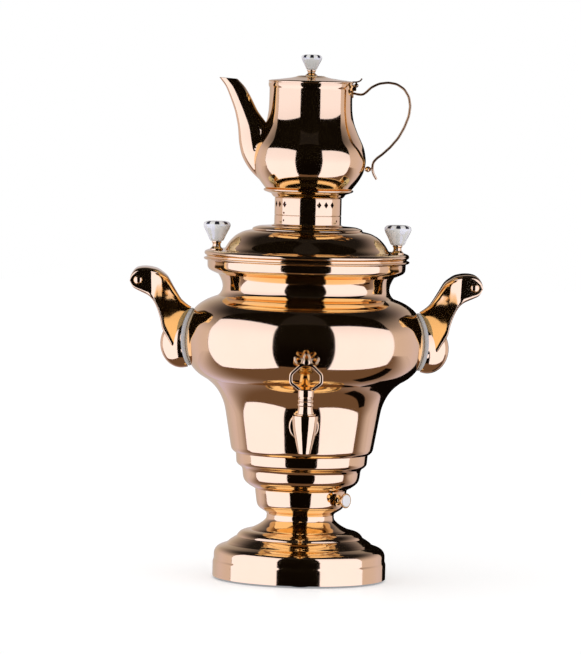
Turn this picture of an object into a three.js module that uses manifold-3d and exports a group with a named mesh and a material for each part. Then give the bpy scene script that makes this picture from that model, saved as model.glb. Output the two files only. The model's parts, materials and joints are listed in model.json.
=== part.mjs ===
// An electric tabletop samovar with a teapot on top: spun shells clamped on one column,
// a plug tap, two horn handles, a lid with a steam collar, and a hinged-lid teapot.
// Millimetres, +Z up, the tap at -Y. The origin is on the table, on the urn's axis.
import * as THREE from "three";
import { mergeVertices } from "three/addons/utils/BufferGeometryUtils.js";
import Module from "manifold-3d";

const wasm = await Module();
wasm.setup();

// Walls, fits and facets
const sheet = 1.2;
const seatGap = 0.3;
const slipGap = 0.6;
const overrun = 3;
const largeSides = 20;
const middleSides = 16;
const smallSides = 12;
const tinySides = 8;
const hexSides = 6;
const cableFacets = 3;
const splineSteps = 40;
const facetSag = 0.55;
const wallSag = 0.8;
const quarterTurn = Math.PI / 2;

// Heights of the stack, from the table up
const footHeight = 2;
const plinthHeight = 45;
const stemHeight = 17;
const waistHeight = 22;
const bowlHeight = 34.5;
const coneHeight = 69.5;
const bellyHeight = 99.8;
const rimHeight = 16;
const lidHeight = 31.1;
const sleeveHeight = 10.1;
const windowBandHeight = 17;
const restHeight = 7;
const teapotHeight = 101.5;

// Widest radii of the same pieces
const plinthRadius = 82.6;
const stemRadius = 47;
const bellyRadius = 115;
const collarRadius = 31.8;
const teapotRadius = 54.1;

// Pieces that seat on a wider or narrower neighbour take their radius from it
const coneTopShare = 0.807;
const bowlTopShare = 0.678;
const rimShare = 0.853;
const waistShare = 0.932;
const lidSetback = 0.5;
const restOverhang = 10.8;

const coneRadius = coneTopShare * bellyRadius;
const bowlRadius = bowlTopShare * coneRadius;
const waistRadius = waistShare * stemRadius;
const rimRadius = rimShare * bellyRadius;
const lidRadius = rimRadius - lidSetback;
const restRadius = collarRadius + restOverhang;

const stemBottom = footHeight + plinthHeight;
const waistBottom = stemBottom + stemHeight;
const bowlBottom = waistBottom + waistHeight;
const coneBottom = bowlBottom + bowlHeight;
const bellyBottom = coneBottom + coneHeight;
const rimBottom = bellyBottom + bellyHeight;
const lidSeat = rimBottom + rimHeight;
const collarBottom = lidSeat + lidHeight;
const windowBottom = collarBottom + sleeveHeight;
const restBottom = windowBottom + windowBandHeight;
const teapotBottom = restBottom + restHeight;
const teapotRim = teapotBottom + teapotHeight;

const finishes = {
  roseGold: { color: 0xe3ab84, roughness: 0.08, metalness: 1 },
  steel: { color: 0xb9bcc0, roughness: 0.3, metalness: 1 },
  aluminium: { color: 0xc9cbcd, roughness: 0.45, metalness: 1 },
  brass: { color: 0xc8a45c, roughness: 0.35, metalness: 1 },
  porcelain: { color: 0xf6f5f2, roughness: 0.12, metalness: 0 },
  greySilicone: { color: 0x9a9c9f, roughness: 0.7, metalness: 0 },
  blackRubber: { color: 0x202022, roughness: 0.85, metalness: 0 },
  blackPlastic: { color: 0x26262a, roughness: 0.5, metalness: 0 },
};

const at = (radius, height) => new THREE.Vector2(radius, height);

// Points placed by shares of a radius and a height; a smooth stretch is a spline through its points.
function outline(radius, bottom, height, stretches) {
  const points = [];
  for (const { shares, smooth } of stretches) {
    const placed = shares.map(([r, z]) => at(r * radius, bottom + z * height));
    points.push(...(smooth ? new THREE.SplineCurve(placed).getPoints(splineSteps) : placed));
  }
  return thinned(points, facetSag);
}

// Keeps only the points needed for straight pieces that stay within a sag of the curve.
function thinned(points, sag) {
  const first = points[0];
  const last = points.at(-1);
  const chord = last.clone().sub(first);
  const offsets = points.map((p) => Math.abs(p.clone().sub(first).cross(chord)) / chord.length());
  const farthest = offsets.indexOf(Math.max(...offsets));
  if (offsets[farthest] <= sag) return [first, last];
  const before = thinned(points.slice(0, farthest + 1), sag);
  return [...before.slice(0, -1), ...thinned(points.slice(farthest), sag)];
}

// An outline moved to its left by a wall, corners along their mitres; open ends stay level.
function inset(points, wall, closed = false) {
  const count = points.length;
  const wrap = (i) => (closed ? (i + count) % count : Math.min(Math.max(i, 0), count - 2));
  const normals = points.map((p, i) => {
    const along = points[(i + 1) % count].clone().sub(p).normalize();
    return at(-along.y, along.x);
  });
  return points.map((p, i) => {
    const before = normals[wrap(i - 1)];
    const after = normals[wrap(i)];
    const open = !closed && (i === 0 || i === count - 1);
    if (open && Math.abs(after.x) > 0.2) return at(p.x + wall / after.x, p.y);
    const mitre = before.clone().add(after).normalize();
    return p.clone().addScaledVector(mitre, wall / mitre.dot(after));
  });
}

// A closed profile turned about Z.
function revolve(profile, sides) {
  return new THREE.LatheGeometry(profile, sides).rotateX(quarterTurn);
}

// A ring between an outer outline and an inner one, both listed upwards.
function ring(outer, inner, sides) {
  return revolve([...outer, ...inner.toReversed(), outer[0]], sides);
}

// A spun wall that follows an outline inside.
function shell(points, wall, sides) {
  return ring(points, inset(thinned(points, wallSag), wall), sides);
}

// A full solid under an outline grown by a gap, for cutting what seats on it.
function envelope(points, gap, sides) {
  const grown = inset(points, -gap);
  return revolve([at(0, grown[0].y), ...grown, at(0, grown.at(-1).y)], sides);
}

function radiusAt(points, height) {
  const i = points.findIndex((p, k) => k > 0 && p.y >= height && points[k - 1].y < height);
  const low = points[i - 1];
  const high = points[i];
  return low.x + ((high.x - low.x) * (height - low.y)) / (high.y - low.y);
}

// A round bar about Z, the second radius at its top.
function bar(radius, low, high, sides = smallSides, topRadius = radius) {
  const geometry = new THREE.CylinderGeometry(topRadius, radius, high - low, sides);
  return geometry.rotateX(quarterTurn).translate(0, 0, (low + high) / 2);
}

function tube(radius, bore, low, high, sides = smallSides) {
  return ring([at(radius, low), at(radius, high)], [at(bore, low), at(bore, high)], sides);
}

function block(x, y, z) {
  const size = [x, y, z].map(([low, high]) => high - low);
  const middle = [x, y, z].map(([low, high]) => (low + high) / 2);
  return new THREE.BoxGeometry(...size).translate(...middle);
}

// Turns what was drawn along Z to point out from the urn's axis at an angle and a height.
function pointOut(geometry, angle, height) {
  return geometry.rotateY(quarterTurn).rotateZ(angle).translate(0, 0, height);
}

// A flat shape in X and Z, given a thickness and centred on Y.
function slab(shape, thickness) {
  const geometry = new THREE.ExtrudeGeometry(shape, { depth: thickness, bevelEnabled: false });
  return geometry.rotateX(quarterTurn).translate(0, thickness / 2, 0);
}

// A strip of even thickness along an open centreline.
function strip(centreline, thickness, width) {
  const left = inset(centreline, thickness / 2);
  const right = inset(centreline, -thickness / 2);
  return slab(new THREE.Shape([...right, ...left.toReversed()]), width);
}

// A closed band of even thickness along a centreline.
function band(centreline, thickness, width) {
  const shape = new THREE.Shape(inset(centreline, -thickness / 2, true));
  shape.holes.push(new THREE.Path(inset(centreline, thickness / 2, true)));
  return slab(shape, width);
}

function cable(points, radius, steps) {
  const section = new THREE.Shape().absarc(0, 0, radius, 0, 2 * Math.PI);
  const extrudePath = new THREE.CatmullRomCurve3(points);
  return new THREE.ExtrudeGeometry(section, { extrudePath, steps, curveSegments: cableFacets });
}

function solid(geometry) {
  const bare = geometry.clone();
  bare.deleteAttribute("normal");
  bare.deleteAttribute("uv");
  const merged = mergeVertices(bare, 1e-4);
  const vertProperties = merged.attributes.position.array;
  const triVerts = new Uint32Array(merged.index.array);
  return new wasm.Manifold(new wasm.Mesh({ numProp: 3, vertProperties, triVerts }));
}

function cut(geometry, ...cutters) {
  return shapeOf(cutters.reduce((left, cutter) => left.subtract(solid(cutter)), solid(geometry)));
}

function join(geometry, ...others) {
  return shapeOf(others.reduce((sum, other) => sum.add(solid(other)), solid(geometry)));
}

function common(geometry, other) {
  return shapeOf(solid(geometry).intersect(solid(other)));
}

function shapeOf(made) {
  const mesh = made.getMesh();
  const geometry = new THREE.BufferGeometry();
  geometry.setAttribute("position", new THREE.BufferAttribute(mesh.vertProperties, 3));
  geometry.setIndex(new THREE.BufferAttribute(mesh.triVerts, 1));
  return geometry;
}

const samovar = new THREE.Group();
const urn = new THREE.Group();
const lid = new THREE.Group();
const teapot = new THREE.Group();
samovar.add(urn, lid, teapot);

function add(group, name, geometry, finish) {
  const mesh = new THREE.Mesh(geometry, new THREE.MeshStandardMaterial(finishes[finish]));
  mesh.name = name;
  group.add(mesh);
  return mesh;
}

// Foot: a stepped plinth on three screwed rubber feet
const plinthTierShares = [
  { shares: [[1, 0], [1, 0.333], [0.988, 0.356]] },
  { shares: [[0.988, 0.489], [0.973, 0.582], [0.925, 0.649], [0.847, 0.676]], smooth: true },
  { shares: [[0.835, 0.693], [0.828, 0.738], [0.787, 0.791], [0.702, 0.818]], smooth: true },
  { shares: [[0.694, 0.836], [0.69, 0.898], [0.661, 0.969], [0.599, 1]], smooth: true },
];
const throatRadius = 30;
const plateThickness = 1.5;
const footRadius = 9;
const footCircleShare = 0.775;
const footCircle = footCircleShare * plinthRadius;
const footAngles = [1, 5, 9].map((sixth) => (sixth * Math.PI) / 6);
const screwRadius = 1.6;
const screwHeadRadius = 3.4;
const screwHeadHeight = 1;
const screwLength = 12;
const postRadius = 4.5;
const postTopShare = 0.72;

const plateTop = footHeight + plateThickness;
const screwHeadSeat = footHeight - screwHeadHeight / 2;

const plinthOuter = [
  ...outline(plinthRadius, footHeight, plinthHeight, plinthTierShares),
  at(throatRadius, stemBottom),
];
const postTop = footHeight + plinthHeight * postTopShare;

const inletWidth = 27;
const inletHeight = 17;
const inletFlange = 2;
const inletFlangeThickness = 2.5;
const inletDepth = 16;
const inletWall = 2;
const inletMiddle = 13;
const inletFace = plinthRadius + inletFlangeThickness;
const inletBack = inletFace - inletDepth - inletWall;

// A box about the inlet's middle line, wider than the moulding by a margin.
function inletBlock(margin, yLow, yHigh) {
  const halfWidth = inletWidth / 2 + margin;
  const halfHeight = inletHeight / 2 + margin;
  const heights = [inletMiddle - halfHeight, inletMiddle + halfHeight];
  return block([-halfWidth, halfWidth], [yLow, yHigh], heights);
}

function plinth() {
  const posts = footAngles.map((angle) =>
    bar(postRadius, plateTop, postTop, tinySides).translate(footCircle, 0, 0).rotateZ(angle),
  );
  const bores = footAngles.map((angle) =>
    bar(screwRadius + seatGap, 0, screwLength + seatGap, tinySides).translate(footCircle, 0, 0).rotateZ(angle),
  );
  const inletHole = inletBlock(seatGap, plinthRadius / 2, plinthRadius + overrun);
  return cut(join(shell(plinthOuter, sheet, largeSides), ...posts), ...bores, inletHole);
}

function bottomPlate() {
  const radius = plinthRadius - sheet - slipGap;
  const holes = footAngles.map((angle) =>
    bar(screwRadius + seatGap, 0, plateTop + overrun, tinySides).translate(footCircle, 0, 0).rotateZ(angle),
  );
  return cut(bar(radius, footHeight, plateTop, largeSides), ...holes);
}

function rubberFoot() {
  const shank = screwRadius + seatGap;
  const pocket = screwHeadRadius + seatGap;
  const chamfer = footHeight / 4;
  const outer = [at(footRadius - chamfer, 0), at(footRadius, chamfer), at(footRadius, footHeight)];
  const seat = screwHeadSeat - seatGap;
  return ring(outer, [at(pocket, 0), at(pocket, seat), at(shank, seat), at(shank, footHeight)], smallSides);
}

function footScrew() {
  const headBottom = screwHeadSeat - seatGap - screwHeadHeight;
  const profile = [
    at(0, headBottom),
    at(screwHeadRadius, headBottom),
    at(screwHeadRadius, screwHeadSeat - seatGap),
    at(screwRadius, screwHeadSeat - seatGap),
    at(screwRadius, screwLength),
    at(0, screwLength),
  ];
  return revolve(profile, tinySides);
}

add(urn, "base_plinth", plinth(), "roseGold");
add(urn, "bottom_plate", bottomPlate(), "blackPlastic");
footAngles.forEach((angle, i) => {
  const place = (geometry) => geometry.translate(footCircle, 0, 0).rotateZ(angle);
  add(urn, `rubber_foot_${i + 1}`, place(rubberFoot()), "blackRubber");
  add(urn, `foot_screw_${i + 1}`, place(footScrew()), "steel");
});

// Mains inlet at the back of the plinth, with its contact block
const socketWall = 2;
const bladeWidth = 2;
const bladeHeight = 4;
const bladePitch = 7;
const bladeOffset = 2;
const bladeRecess = 4.5;
const contactDepth = 4;
const bladeSpots = [[-bladePitch, bladeOffset], [0, -bladeOffset], [bladePitch, bladeOffset]];

function blade([x, z], margin, yLow, yHigh) {
  const halfWidth = bladeWidth / 2 + margin;
  const middle = inletMiddle + z;
  const halfHeight = bladeHeight / 2 + margin;
  return block([x - halfWidth, x + halfWidth], [yLow, yHigh], [middle - halfHeight, middle + halfHeight]);
}

function powerInlet() {
  const flange = cut(
    inletBlock(inletFlange, plinthRadius / 2 + inletDepth, inletFace),
    envelope(plinthOuter, seatGap, largeSides),
  );
  const body = inletBlock(0, inletBack, inletFace);
  const recess = inletBlock(-socketWall, inletFace - inletDepth, inletFace + overrun);
  const slots = bladeSpots.map((spot) => blade(spot, seatGap, inletBack - overrun, inletFace - inletDepth + overrun));
  return cut(join(body, flange), recess, ...slots);
}

function inletContacts() {
  const backing = inletBlock(-socketWall, inletBack - contactDepth, inletBack);
  const blades = bladeSpots.map((spot) => blade(spot, 0, inletBack - contactDepth / 2, inletFace - bladeRecess));
  return join(backing, ...blades);
}

add(urn, "power_inlet", powerInlet(), "blackPlastic");
add(urn, "inlet_contacts", inletContacts(), "brass");

// Column: stem, waist and stepped bowl, each closed by a flange round the throat
const stemShares = [
  { shares: [[1, 0], [0.983, 0.059]] },
  { shares: [[0.983, 0.059], [0.853, 0.235], [0.749, 0.447], [0.685, 0.612]], smooth: true },
  { shares: [[0.681, 0.894], [0.706, 1]] },
];
const waistShares = [
  { shares: [[0.758, 0], [0.845, 0.1], [0.927, 0.218], [0.957, 0.364]], smooth: true },
  { shares: [[0.986, 0.773], [1, 1]] },
];
const bowlShares = [
  { shares: [[0.706, 0]] },
  { shares: [[0.706, 0.02], [0.779, 0.087], [0.859, 0.203], [0.884, 0.319]], smooth: true },
  { shares: [[0.895, 0.522]] },
  { shares: [[0.913, 0.603], [0.967, 0.661], [0.99, 0.725]], smooth: true },
  { shares: [[1, 0.971], [1, 1]] },
];
const floorBoreShare = 0.795;
const floorBore = floorBoreShare * bowlRadius;

const stemOuter = [at(throatRadius, stemBottom), ...outline(stemRadius, stemBottom, stemHeight, stemShares)];
const waistOuter = [
  ...outline(waistRadius, waistBottom, waistHeight, waistShares),
  at(throatRadius, bowlBottom),
];
const bowlOuter = [
  at(throatRadius, bowlBottom),
  ...outline(bowlRadius, bowlBottom, bowlHeight, bowlShares),
  at(floorBore, coneBottom),
];

// Thermostat and its knob, set to the right of the tap
const knobAngle = (-40 * Math.PI) / 180;
const thermostatRadius = 12;
const thermostatBack = 10;
const thermostatDepth = 16;
const thermostatBoss = 5.3;
const thermostatNeck = 4;
const thermostatNutRadius = 6.8;
const thermostatNutThickness = 2.4;
const thermostatNutClearance = 0.2;
const knobShaftRadius = 2.2;
const knobFaceRadius = 7.15;
const knobLength = 11;
const knobCapDepth = 0.8;
const knobShares = [[0.78, 0], [0.5, 0.28], [0.55, 0.45], [0.8, 0.68], [1, 0.86], [1, 1]];

const knobHeight = bowlBottom - thermostatNutRadius - thermostatNutClearance;
const waistFlat = radiusAt(waistOuter, knobHeight - thermostatBoss) * Math.cos(Math.PI / middleSides);
const bossFront = Math.hypot(waistFlat - sheet, thermostatBoss) - thermostatBoss ** 2 / waistFlat - seatGap;
const nutBack = waistRadius + seatGap;
const nutFront = nutBack + thermostatNutThickness;
const neckFront = nutFront + seatGap;
const knobBack = neckFront + seatGap;
const knobFront = knobBack + knobLength;
const capSeat = knobFront - knobCapDepth;
const shaftFront = knobBack + knobLength / 2;

function thermostat() {
  const front = thermostatBack + thermostatDepth;
  const profile = [
    at(0, thermostatBack),
    at(thermostatRadius, thermostatBack),
    at(thermostatRadius, front),
    at(thermostatBoss, front),
    at(thermostatBoss, bossFront),
    at(thermostatNeck, bossFront),
    at(thermostatNeck, neckFront),
    at(knobShaftRadius, neckFront),
    at(knobShaftRadius, shaftFront),
    at(0, shaftFront),
  ];
  return revolve(profile, smallSides);
}

function thermostatNut() {
  const bore = (thermostatNeck + seatGap) / Math.cos(Math.PI / hexSides);
  return tube(thermostatNutRadius, bore, nutBack, nutFront, hexSides);
}

function thermostatKnob() {
  const bore = knobShaftRadius + seatGap;
  const boreEnd = shaftFront + seatGap;
  const pocket = knobFaceRadius - sheet;
  const flank = knobShares.map(([r, z]) => at(r * knobFaceRadius, knobBack + z * knobLength));
  const inside = [at(pocket, knobFront), at(pocket, capSeat), at(0, capSeat), at(0, boreEnd), at(bore, boreEnd)];
  return revolve([...flank, ...inside, at(bore, knobBack), flank[0]], smallSides);
}

function knobCap() {
  const edge = knobFaceRadius - sheet - seatGap;
  const crown = knobFront + knobCapDepth / 2;
  const shares = [[1, capSeat], [1, knobFront], [0.6, (knobFront + crown) / 2], [0, crown]];
  return revolve([at(0, capSeat), ...shares.map(([r, z]) => at(r * edge, z))], smallSides);
}

function waistHousing() {
  const hole = bar(thermostatNeck + seatGap, waistRadius / 2, waistRadius + overrun);
  return cut(shell(waistOuter, sheet, middleSides), pointOut(hole, knobAngle, knobHeight));
}

add(urn, "column_stem", shell(stemOuter, sheet, middleSides), "roseGold");
add(urn, "waist_housing", waistHousing(), "roseGold");
add(urn, "stepped_bowl", shell(bowlOuter, sheet, largeSides), "roseGold");
add(urn, "thermostat", pointOut(thermostat(), knobAngle, knobHeight), "steel");
add(urn, "thermostat_nut", pointOut(thermostatNut(), knobAngle, knobHeight), "roseGold");
add(urn, "thermostat_knob", pointOut(thermostatKnob(), knobAngle, knobHeight), "roseGold");
add(urn, "thermostat_knob_cap", pointOut(knobCap(), knobAngle, knobHeight), "porcelain");

// Tie bolt that clamps plinth, stem, waist and bowl
const tieRadius = 4;
const clampShare = 0.636;
const clampRadius = clampShare * bowlRadius;
const clampThickness = 2;
const bridgeHalfWidth = 7;
const nutRadius = 7.5;
const nutHeight = 6;
const leadRadius = 2.2;
const leadPassage = 20;

const discTop = stemBottom - sheet;
const discBottom = discTop - clampThickness;
const bridgeBottom = bowlBottom + sheet;
const bridgeTop = bridgeBottom + clampThickness;
const tieTop = bridgeTop + nutHeight + tieRadius / 2;

function clampDisc() {
  const disc = tube(clampRadius, tieRadius + seatGap, discBottom, discTop, middleSides);
  const passage = bar(2 * leadRadius, discBottom - overrun, discTop + overrun, tinySides);
  return cut(disc, passage.translate(0, leadPassage, 0));
}

function clampBridge() {
  const reach = Math.sqrt(clampRadius ** 2 - bridgeHalfWidth ** 2);
  const strap = block([-bridgeHalfWidth, bridgeHalfWidth], [-reach, reach], [bridgeBottom, bridgeTop]);
  const hole = bar(tieRadius + seatGap, bridgeBottom - overrun, bridgeTop + overrun);
  return cut(strap.rotateZ(knobAngle), hole);
}

function tieBolt() {
  const head = bar(nutRadius, discBottom - nutHeight, discBottom, hexSides);
  return join(head, bar(tieRadius, discBottom - nutHeight / 2, tieTop, smallSides));
}

function tieNut() {
  const bore = (tieRadius + seatGap) / Math.cos(Math.PI / hexSides);
  return tube(nutRadius, bore, bridgeTop, bridgeTop + nutHeight, hexSides);
}

function supplyLead() {
  const out = new THREE.Vector2(Math.cos(knobAngle), Math.sin(knobAngle));
  const across = new THREE.Vector2(-out.y, out.x);
  const sidestep = (2 * thermostatRadius) / 3;
  const level = knobHeight + thermostatRadius / 3;
  const beside = (distance) => {
    const spot = out.clone().multiplyScalar(distance).addScaledVector(across, sidestep);
    return new THREE.Vector3(spot.x, spot.y, level);
  };
  const start = inletBack - contactDepth - seatGap;
  const bend = (inletMiddle + discBottom) / 2;
  const points = [
    new THREE.Vector3(0, start, inletMiddle),
    new THREE.Vector3(0, start - 2 * contactDepth, inletMiddle),
    new THREE.Vector3(0, (start + leadPassage) / 2, bend),
    new THREE.Vector3(0, leadPassage, discBottom),
    new THREE.Vector3(0, leadPassage, waistBottom),
    beside(0).lerp(new THREE.Vector3(0, leadPassage, waistBottom), 0.4),
    beside(thermostatBack / 2),
    beside(thermostatBack - seatGap),
  ];
  return cable(points, leadRadius, 12);
}

add(urn, "clamp_disc", clampDisc(), "steel");
add(urn, "clamp_bridge", clampBridge(), "steel");
add(urn, "tie_bolt", tieBolt(), "steel");
add(urn, "tie_nut", tieNut(), "steel");
add(urn, "supply_lead", supplyLead(), "greySilicone");

// Tank: cone, belly with neck, and the rim band the lid rests on
const coneShares = [
  { shares: [[0.696, 0]] },
  { shares: [[0.721, 0.036], [0.731, 0.071], [0.745, 0.177], [0.78, 0.45], [0.804, 0.64]] },
  { shares: [[0.804, 0.64], [0.837, 0.753], [0.884, 0.862], [0.94, 0.942], [0.985, 0.986]], smooth: true },
  { shares: [[1, 1]] },
];
const bellyShares = [
  { shares: [[coneTopShare, 0]] },
  {
    shares: [[0.85, 0.023], [0.904, 0.072], [0.961, 0.16], [0.993, 0.276], [1, 0.391], [0.983, 0.531], [0.93, 0.657]],
    smooth: true,
  },
  { shares: [[0.89, 0.697], [0.837, 0.741], [0.781, 0.773], [0.727, 0.795]] },
  { shares: [[0.706, 0.816], [0.691, 0.852], [0.687, 0.892], [0.692, 0.952], [0.708, 0.992]], smooth: true },
  { shares: [[0.713, 1]] },
];
const rimShares = [
  { shares: [[0.836, 0], [0.897, 0.15], [0.944, 0.275], [0.96, 0.425], [0.962, 0.812]] },
  { shares: [[0.985, 0.835], [1, 0.912], [0.993, 1]] },
];
const floorFlangeShare = 0.603;
const floorShare = 0.668;
const rimLipWidth = 6.1;
const floorThickness = 2;
const heaterMargin = 4;
const heaterThickness = 6;
const elementRadius = 3.5;
const elementMargin = 12;
const cutoutRadius = 9;
const cutoutHeight = 9;

const floorFlange = floorFlangeShare * coneRadius;
const floorRadius = floorShare * coneRadius;
const heaterRadius = floorBore - heaterMargin;
const elementCircle = heaterRadius - elementMargin;
const rimLip = rimRadius - rimLipWidth;
const coneOuter = [at(floorFlange, coneBottom), ...outline(coneRadius, coneBottom, coneHeight, coneShares)];
const bellyOuter = outline(bellyRadius, bellyBottom, bellyHeight, bellyShares);
const rimWall = outline(rimRadius, rimBottom, rimHeight, rimShares);
const rimOuter = [...rimWall, at(rimLip, lidSeat)];

// Tap: a plug cock whose key carries an open clover handle
const tapStandoff = 17;
const tapShare = 0.4532;
const shankRadius = 7;
const shankTail = 15.3;
const shankBore = 4.2;
const barrelTopRadius = 11.9;
const barrelRise = 14;
const barrelHeight = 35;
const plugTopRadius = 8;
const plugFootRadius = 6;
const plugLength = 23.4;
const outletBore = 4.4;
const portRadius = 3.6;
const glandHeight = 2;
const escutcheonRadius = 14;
const escutcheonDepth = 4;
const washerRadius = 12.5;
const washerThickness = 3;
const lockNutRadius = 13;
const lockNutThickness = 5;
const keyStemRadius = 7.4;
const keyStemHeight = 25;
const lyreHeight = 24;
const lyreHalfWidth = 14.2;
const lyreRod = 2.2;
const lyreDepth = 4;
const cloverRadius = 2.6;
const barrelShares = [[0.5, 0], [0.55, 0.02], [0.73, 0.32], [0.93, 0.7], [1, 0.9], [0.985, 1]];
const keyStemShares = [
  [0.98, 0], [0.98, 0.1], [0.9, 0.37], [0.985, 0.42], [0.92, 0.5],
  [1, 0.57], [0.92, 0.64], [0.985, 0.7], [0.985, 0.97], [0.88, 1],
];
const lyreShares = [[0.32, 0], [0.75, 0.27], [1, 0.5], [0.82, 0.75], [0.52, 0.92], [0.16, 1]];
const cloverShares = [[0, 0.33], [0.46, 0.17], [-0.46, 0.17]];

const tapAngle = -quarterTurn;
const tapReach = bellyRadius + tapStandoff;
const tapHeight = coneBottom + tapShare * coneHeight;
const barrelTop = tapHeight + barrelRise;
const barrelBottom = barrelTop - barrelHeight;
const plugSeat = barrelTop - plugLength - seatGap;
const coneAtTap = radiusAt(coneOuter, tapHeight);
const shankEnd = coneAtTap - shankTail;
const glandRadius = keyStemRadius + slipGap + sheet;

const atTap = (geometry) => geometry.translate(0, -tapReach, 0);
const alongShank = (geometry) => pointOut(geometry, tapAngle, tapHeight);

function tapBody() {
  const flank = barrelShares.map(([r, z]) => at(r * barrelTopRadius, barrelBottom + z * barrelHeight));
  const barrel = revolve([at(0, barrelBottom), ...flank, at(0, barrelTop)], 16);
  const plugBore = bar(plugFootRadius + seatGap, plugSeat, barrelTop + seatGap, 16, plugTopRadius + seatGap);
  const outlet = bar(outletBore, barrelBottom - overrun, plugSeat + overrun);
  const shank = alongShank(bar(shankRadius, shankEnd, tapReach));
  const waterway = alongShank(bar(shankBore, shankEnd - overrun, tapReach));
  const body = join(atTap(barrel), shank);
  return cut(body, waterway, ...[plugBore, outlet].map(atTap));
}

function tapKey() {
  const stemBottom = barrelTop - seatGap;
  const flank = keyStemShares.map(([r, z]) => at(r * keyStemRadius, stemBottom + z * keyStemHeight));
  const plugBottom = plugSeat + seatGap;
  const plug = [at(0, plugBottom), at(plugFootRadius, plugBottom), at(plugTopRadius, stemBottom)];
  const turned = revolve([...plug, ...flank, at(0, stemBottom + keyStemHeight)], 16);
  const hollow = bar(portRadius, plugBottom - overrun, tapHeight + portRadius);
  const port = pointOut(bar(portRadius, 0, plugTopRadius + overrun, tinySides), 0, tapHeight);
  return atTap(join(cut(turned, hollow, port), lyre(stemBottom + keyStemHeight - lyreRod / 2)));
}

// The handle is an open lyre under a three-leaf clover.
function lyre(bottom) {
  const right = lyreShares.map(([x, z]) => at(x * lyreHalfWidth, bottom + z * lyreHeight));
  const left = right.toReversed().map((p) => at(-p.x, p.y));
  const loop = new THREE.SplineCurve([...right, ...left]).getPoints(16);
  const leafCentre = ([x, z]) => at(x * lyreHalfWidth, bottom + (1 + z) * lyreHeight);
  const leaves = cloverShares.map((shares) => band(circle(leafCentre(shares), cloverRadius, tinySides), lyreRod / 1.2, lyreDepth));
  const hub = slab(new THREE.Shape(circle(at(0, bottom + 1.12 * lyreHeight), cloverRadius + 0.75 * lyreRod, tinySides)), lyreDepth);
  return join(band(loop, lyreRod, lyreDepth), hub, ...leaves);
}

function circle(centre, radius, count) {
  return Array.from({ length: count }, (_, i) => {
    const angle = (2 * Math.PI * i) / count;
    return at(centre.x + radius * Math.cos(angle), centre.y + radius * Math.sin(angle));
  });
}

function tapGland() {
  const bore = keyStemRadius + slipGap;
  return atTap(tube(glandRadius, bore, barrelTop, barrelTop + glandHeight, 16));
}

function tapEscutcheon() {
  const front = coneAtTap + escutcheonDepth;
  const back = coneAtTap - 2 * escutcheonDepth;
  const bore = shankRadius + seatGap;
  const outer = [
    at(escutcheonRadius, back),
    at(escutcheonRadius, front - escutcheonDepth / 2),
    at((escutcheonRadius + bore) / 2, front),
  ];
  const disc = ring(outer, [at(bore, back), at(bore, front)], smallSides);
  return cut(alongShank(disc), envelope(coneOuter, seatGap, largeSides));
}

// The inner face of the wall falls back at the washer's edge, and more where the cone leans.
const washerBack = coneAtTap - sheet - 2 * washerThickness;

function tapWasher() {
  const disc = tube(washerRadius, shankRadius + seatGap, washerBack, coneAtTap + overrun);
  return common(alongShank(disc), envelope(thinned(coneOuter, wallSag), -sheet - seatGap, largeSides));
}

function tapLockNut() {
  const bore = (shankRadius + seatGap) / Math.cos(Math.PI / hexSides);
  const front = washerBack - seatGap;
  return alongShank(tube(lockNutRadius, bore, front - lockNutThickness, front, hexSides));
}

function tankCone() {
  const hole = bar(shankRadius + seatGap, coneAtTap / 2, coneAtTap + 2 * overrun);
  return cut(shell(coneOuter, sheet, largeSides), alongShank(hole));
}

add(urn, "tank_cone", tankCone(), "roseGold");
add(urn, "tap_body", tapBody(), "roseGold");
add(urn, "tap_escutcheon", tapEscutcheon(), "roseGold");
add(urn, "tap_gland", tapGland(), "roseGold");
add(urn, "tap_washer", tapWasher(), "greySilicone");
add(urn, "tap_lock_nut", tapLockNut(), "brass");
add(urn, "tap_key", tapKey(), "roseGold");

// Heater under the tank floor
const floorBottom = coneBottom + sheet;
const heaterBottom = floorBottom - heaterThickness;
const elementHeight = heaterBottom - 2 * seatGap - elementRadius;

function heatingElement() {
  const gap = 0.5;
  const turns = 12;
  const ends = (angle) => new THREE.Vector3(elementCircle * Math.cos(angle), elementCircle * Math.sin(angle), 0);
  const sweep = 2 * Math.PI - gap;
  const arc = Array.from({ length: turns + 1 }, (_, i) => ends(gap / 2 + (sweep * i) / turns).setZ(elementHeight));
  const drop = (p) => p.clone().setZ(elementHeight - 3 * elementRadius);
  return cable([drop(arc[0]), ...arc, drop(arc[turns])], elementRadius, 18);
}

add(urn, "tank_floor", bar(floorRadius, floorBottom, floorBottom + floorThickness, largeSides), "steel");
add(urn, "heater_plate", bar(heaterRadius, heaterBottom, floorBottom, middleSides), "aluminium");
add(urn, "heating_element", heatingElement(), "steel");
add(urn, "dry_boil_cutout", bar(cutoutRadius, heaterBottom - cutoutHeight, heaterBottom), "blackPlastic");

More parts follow.
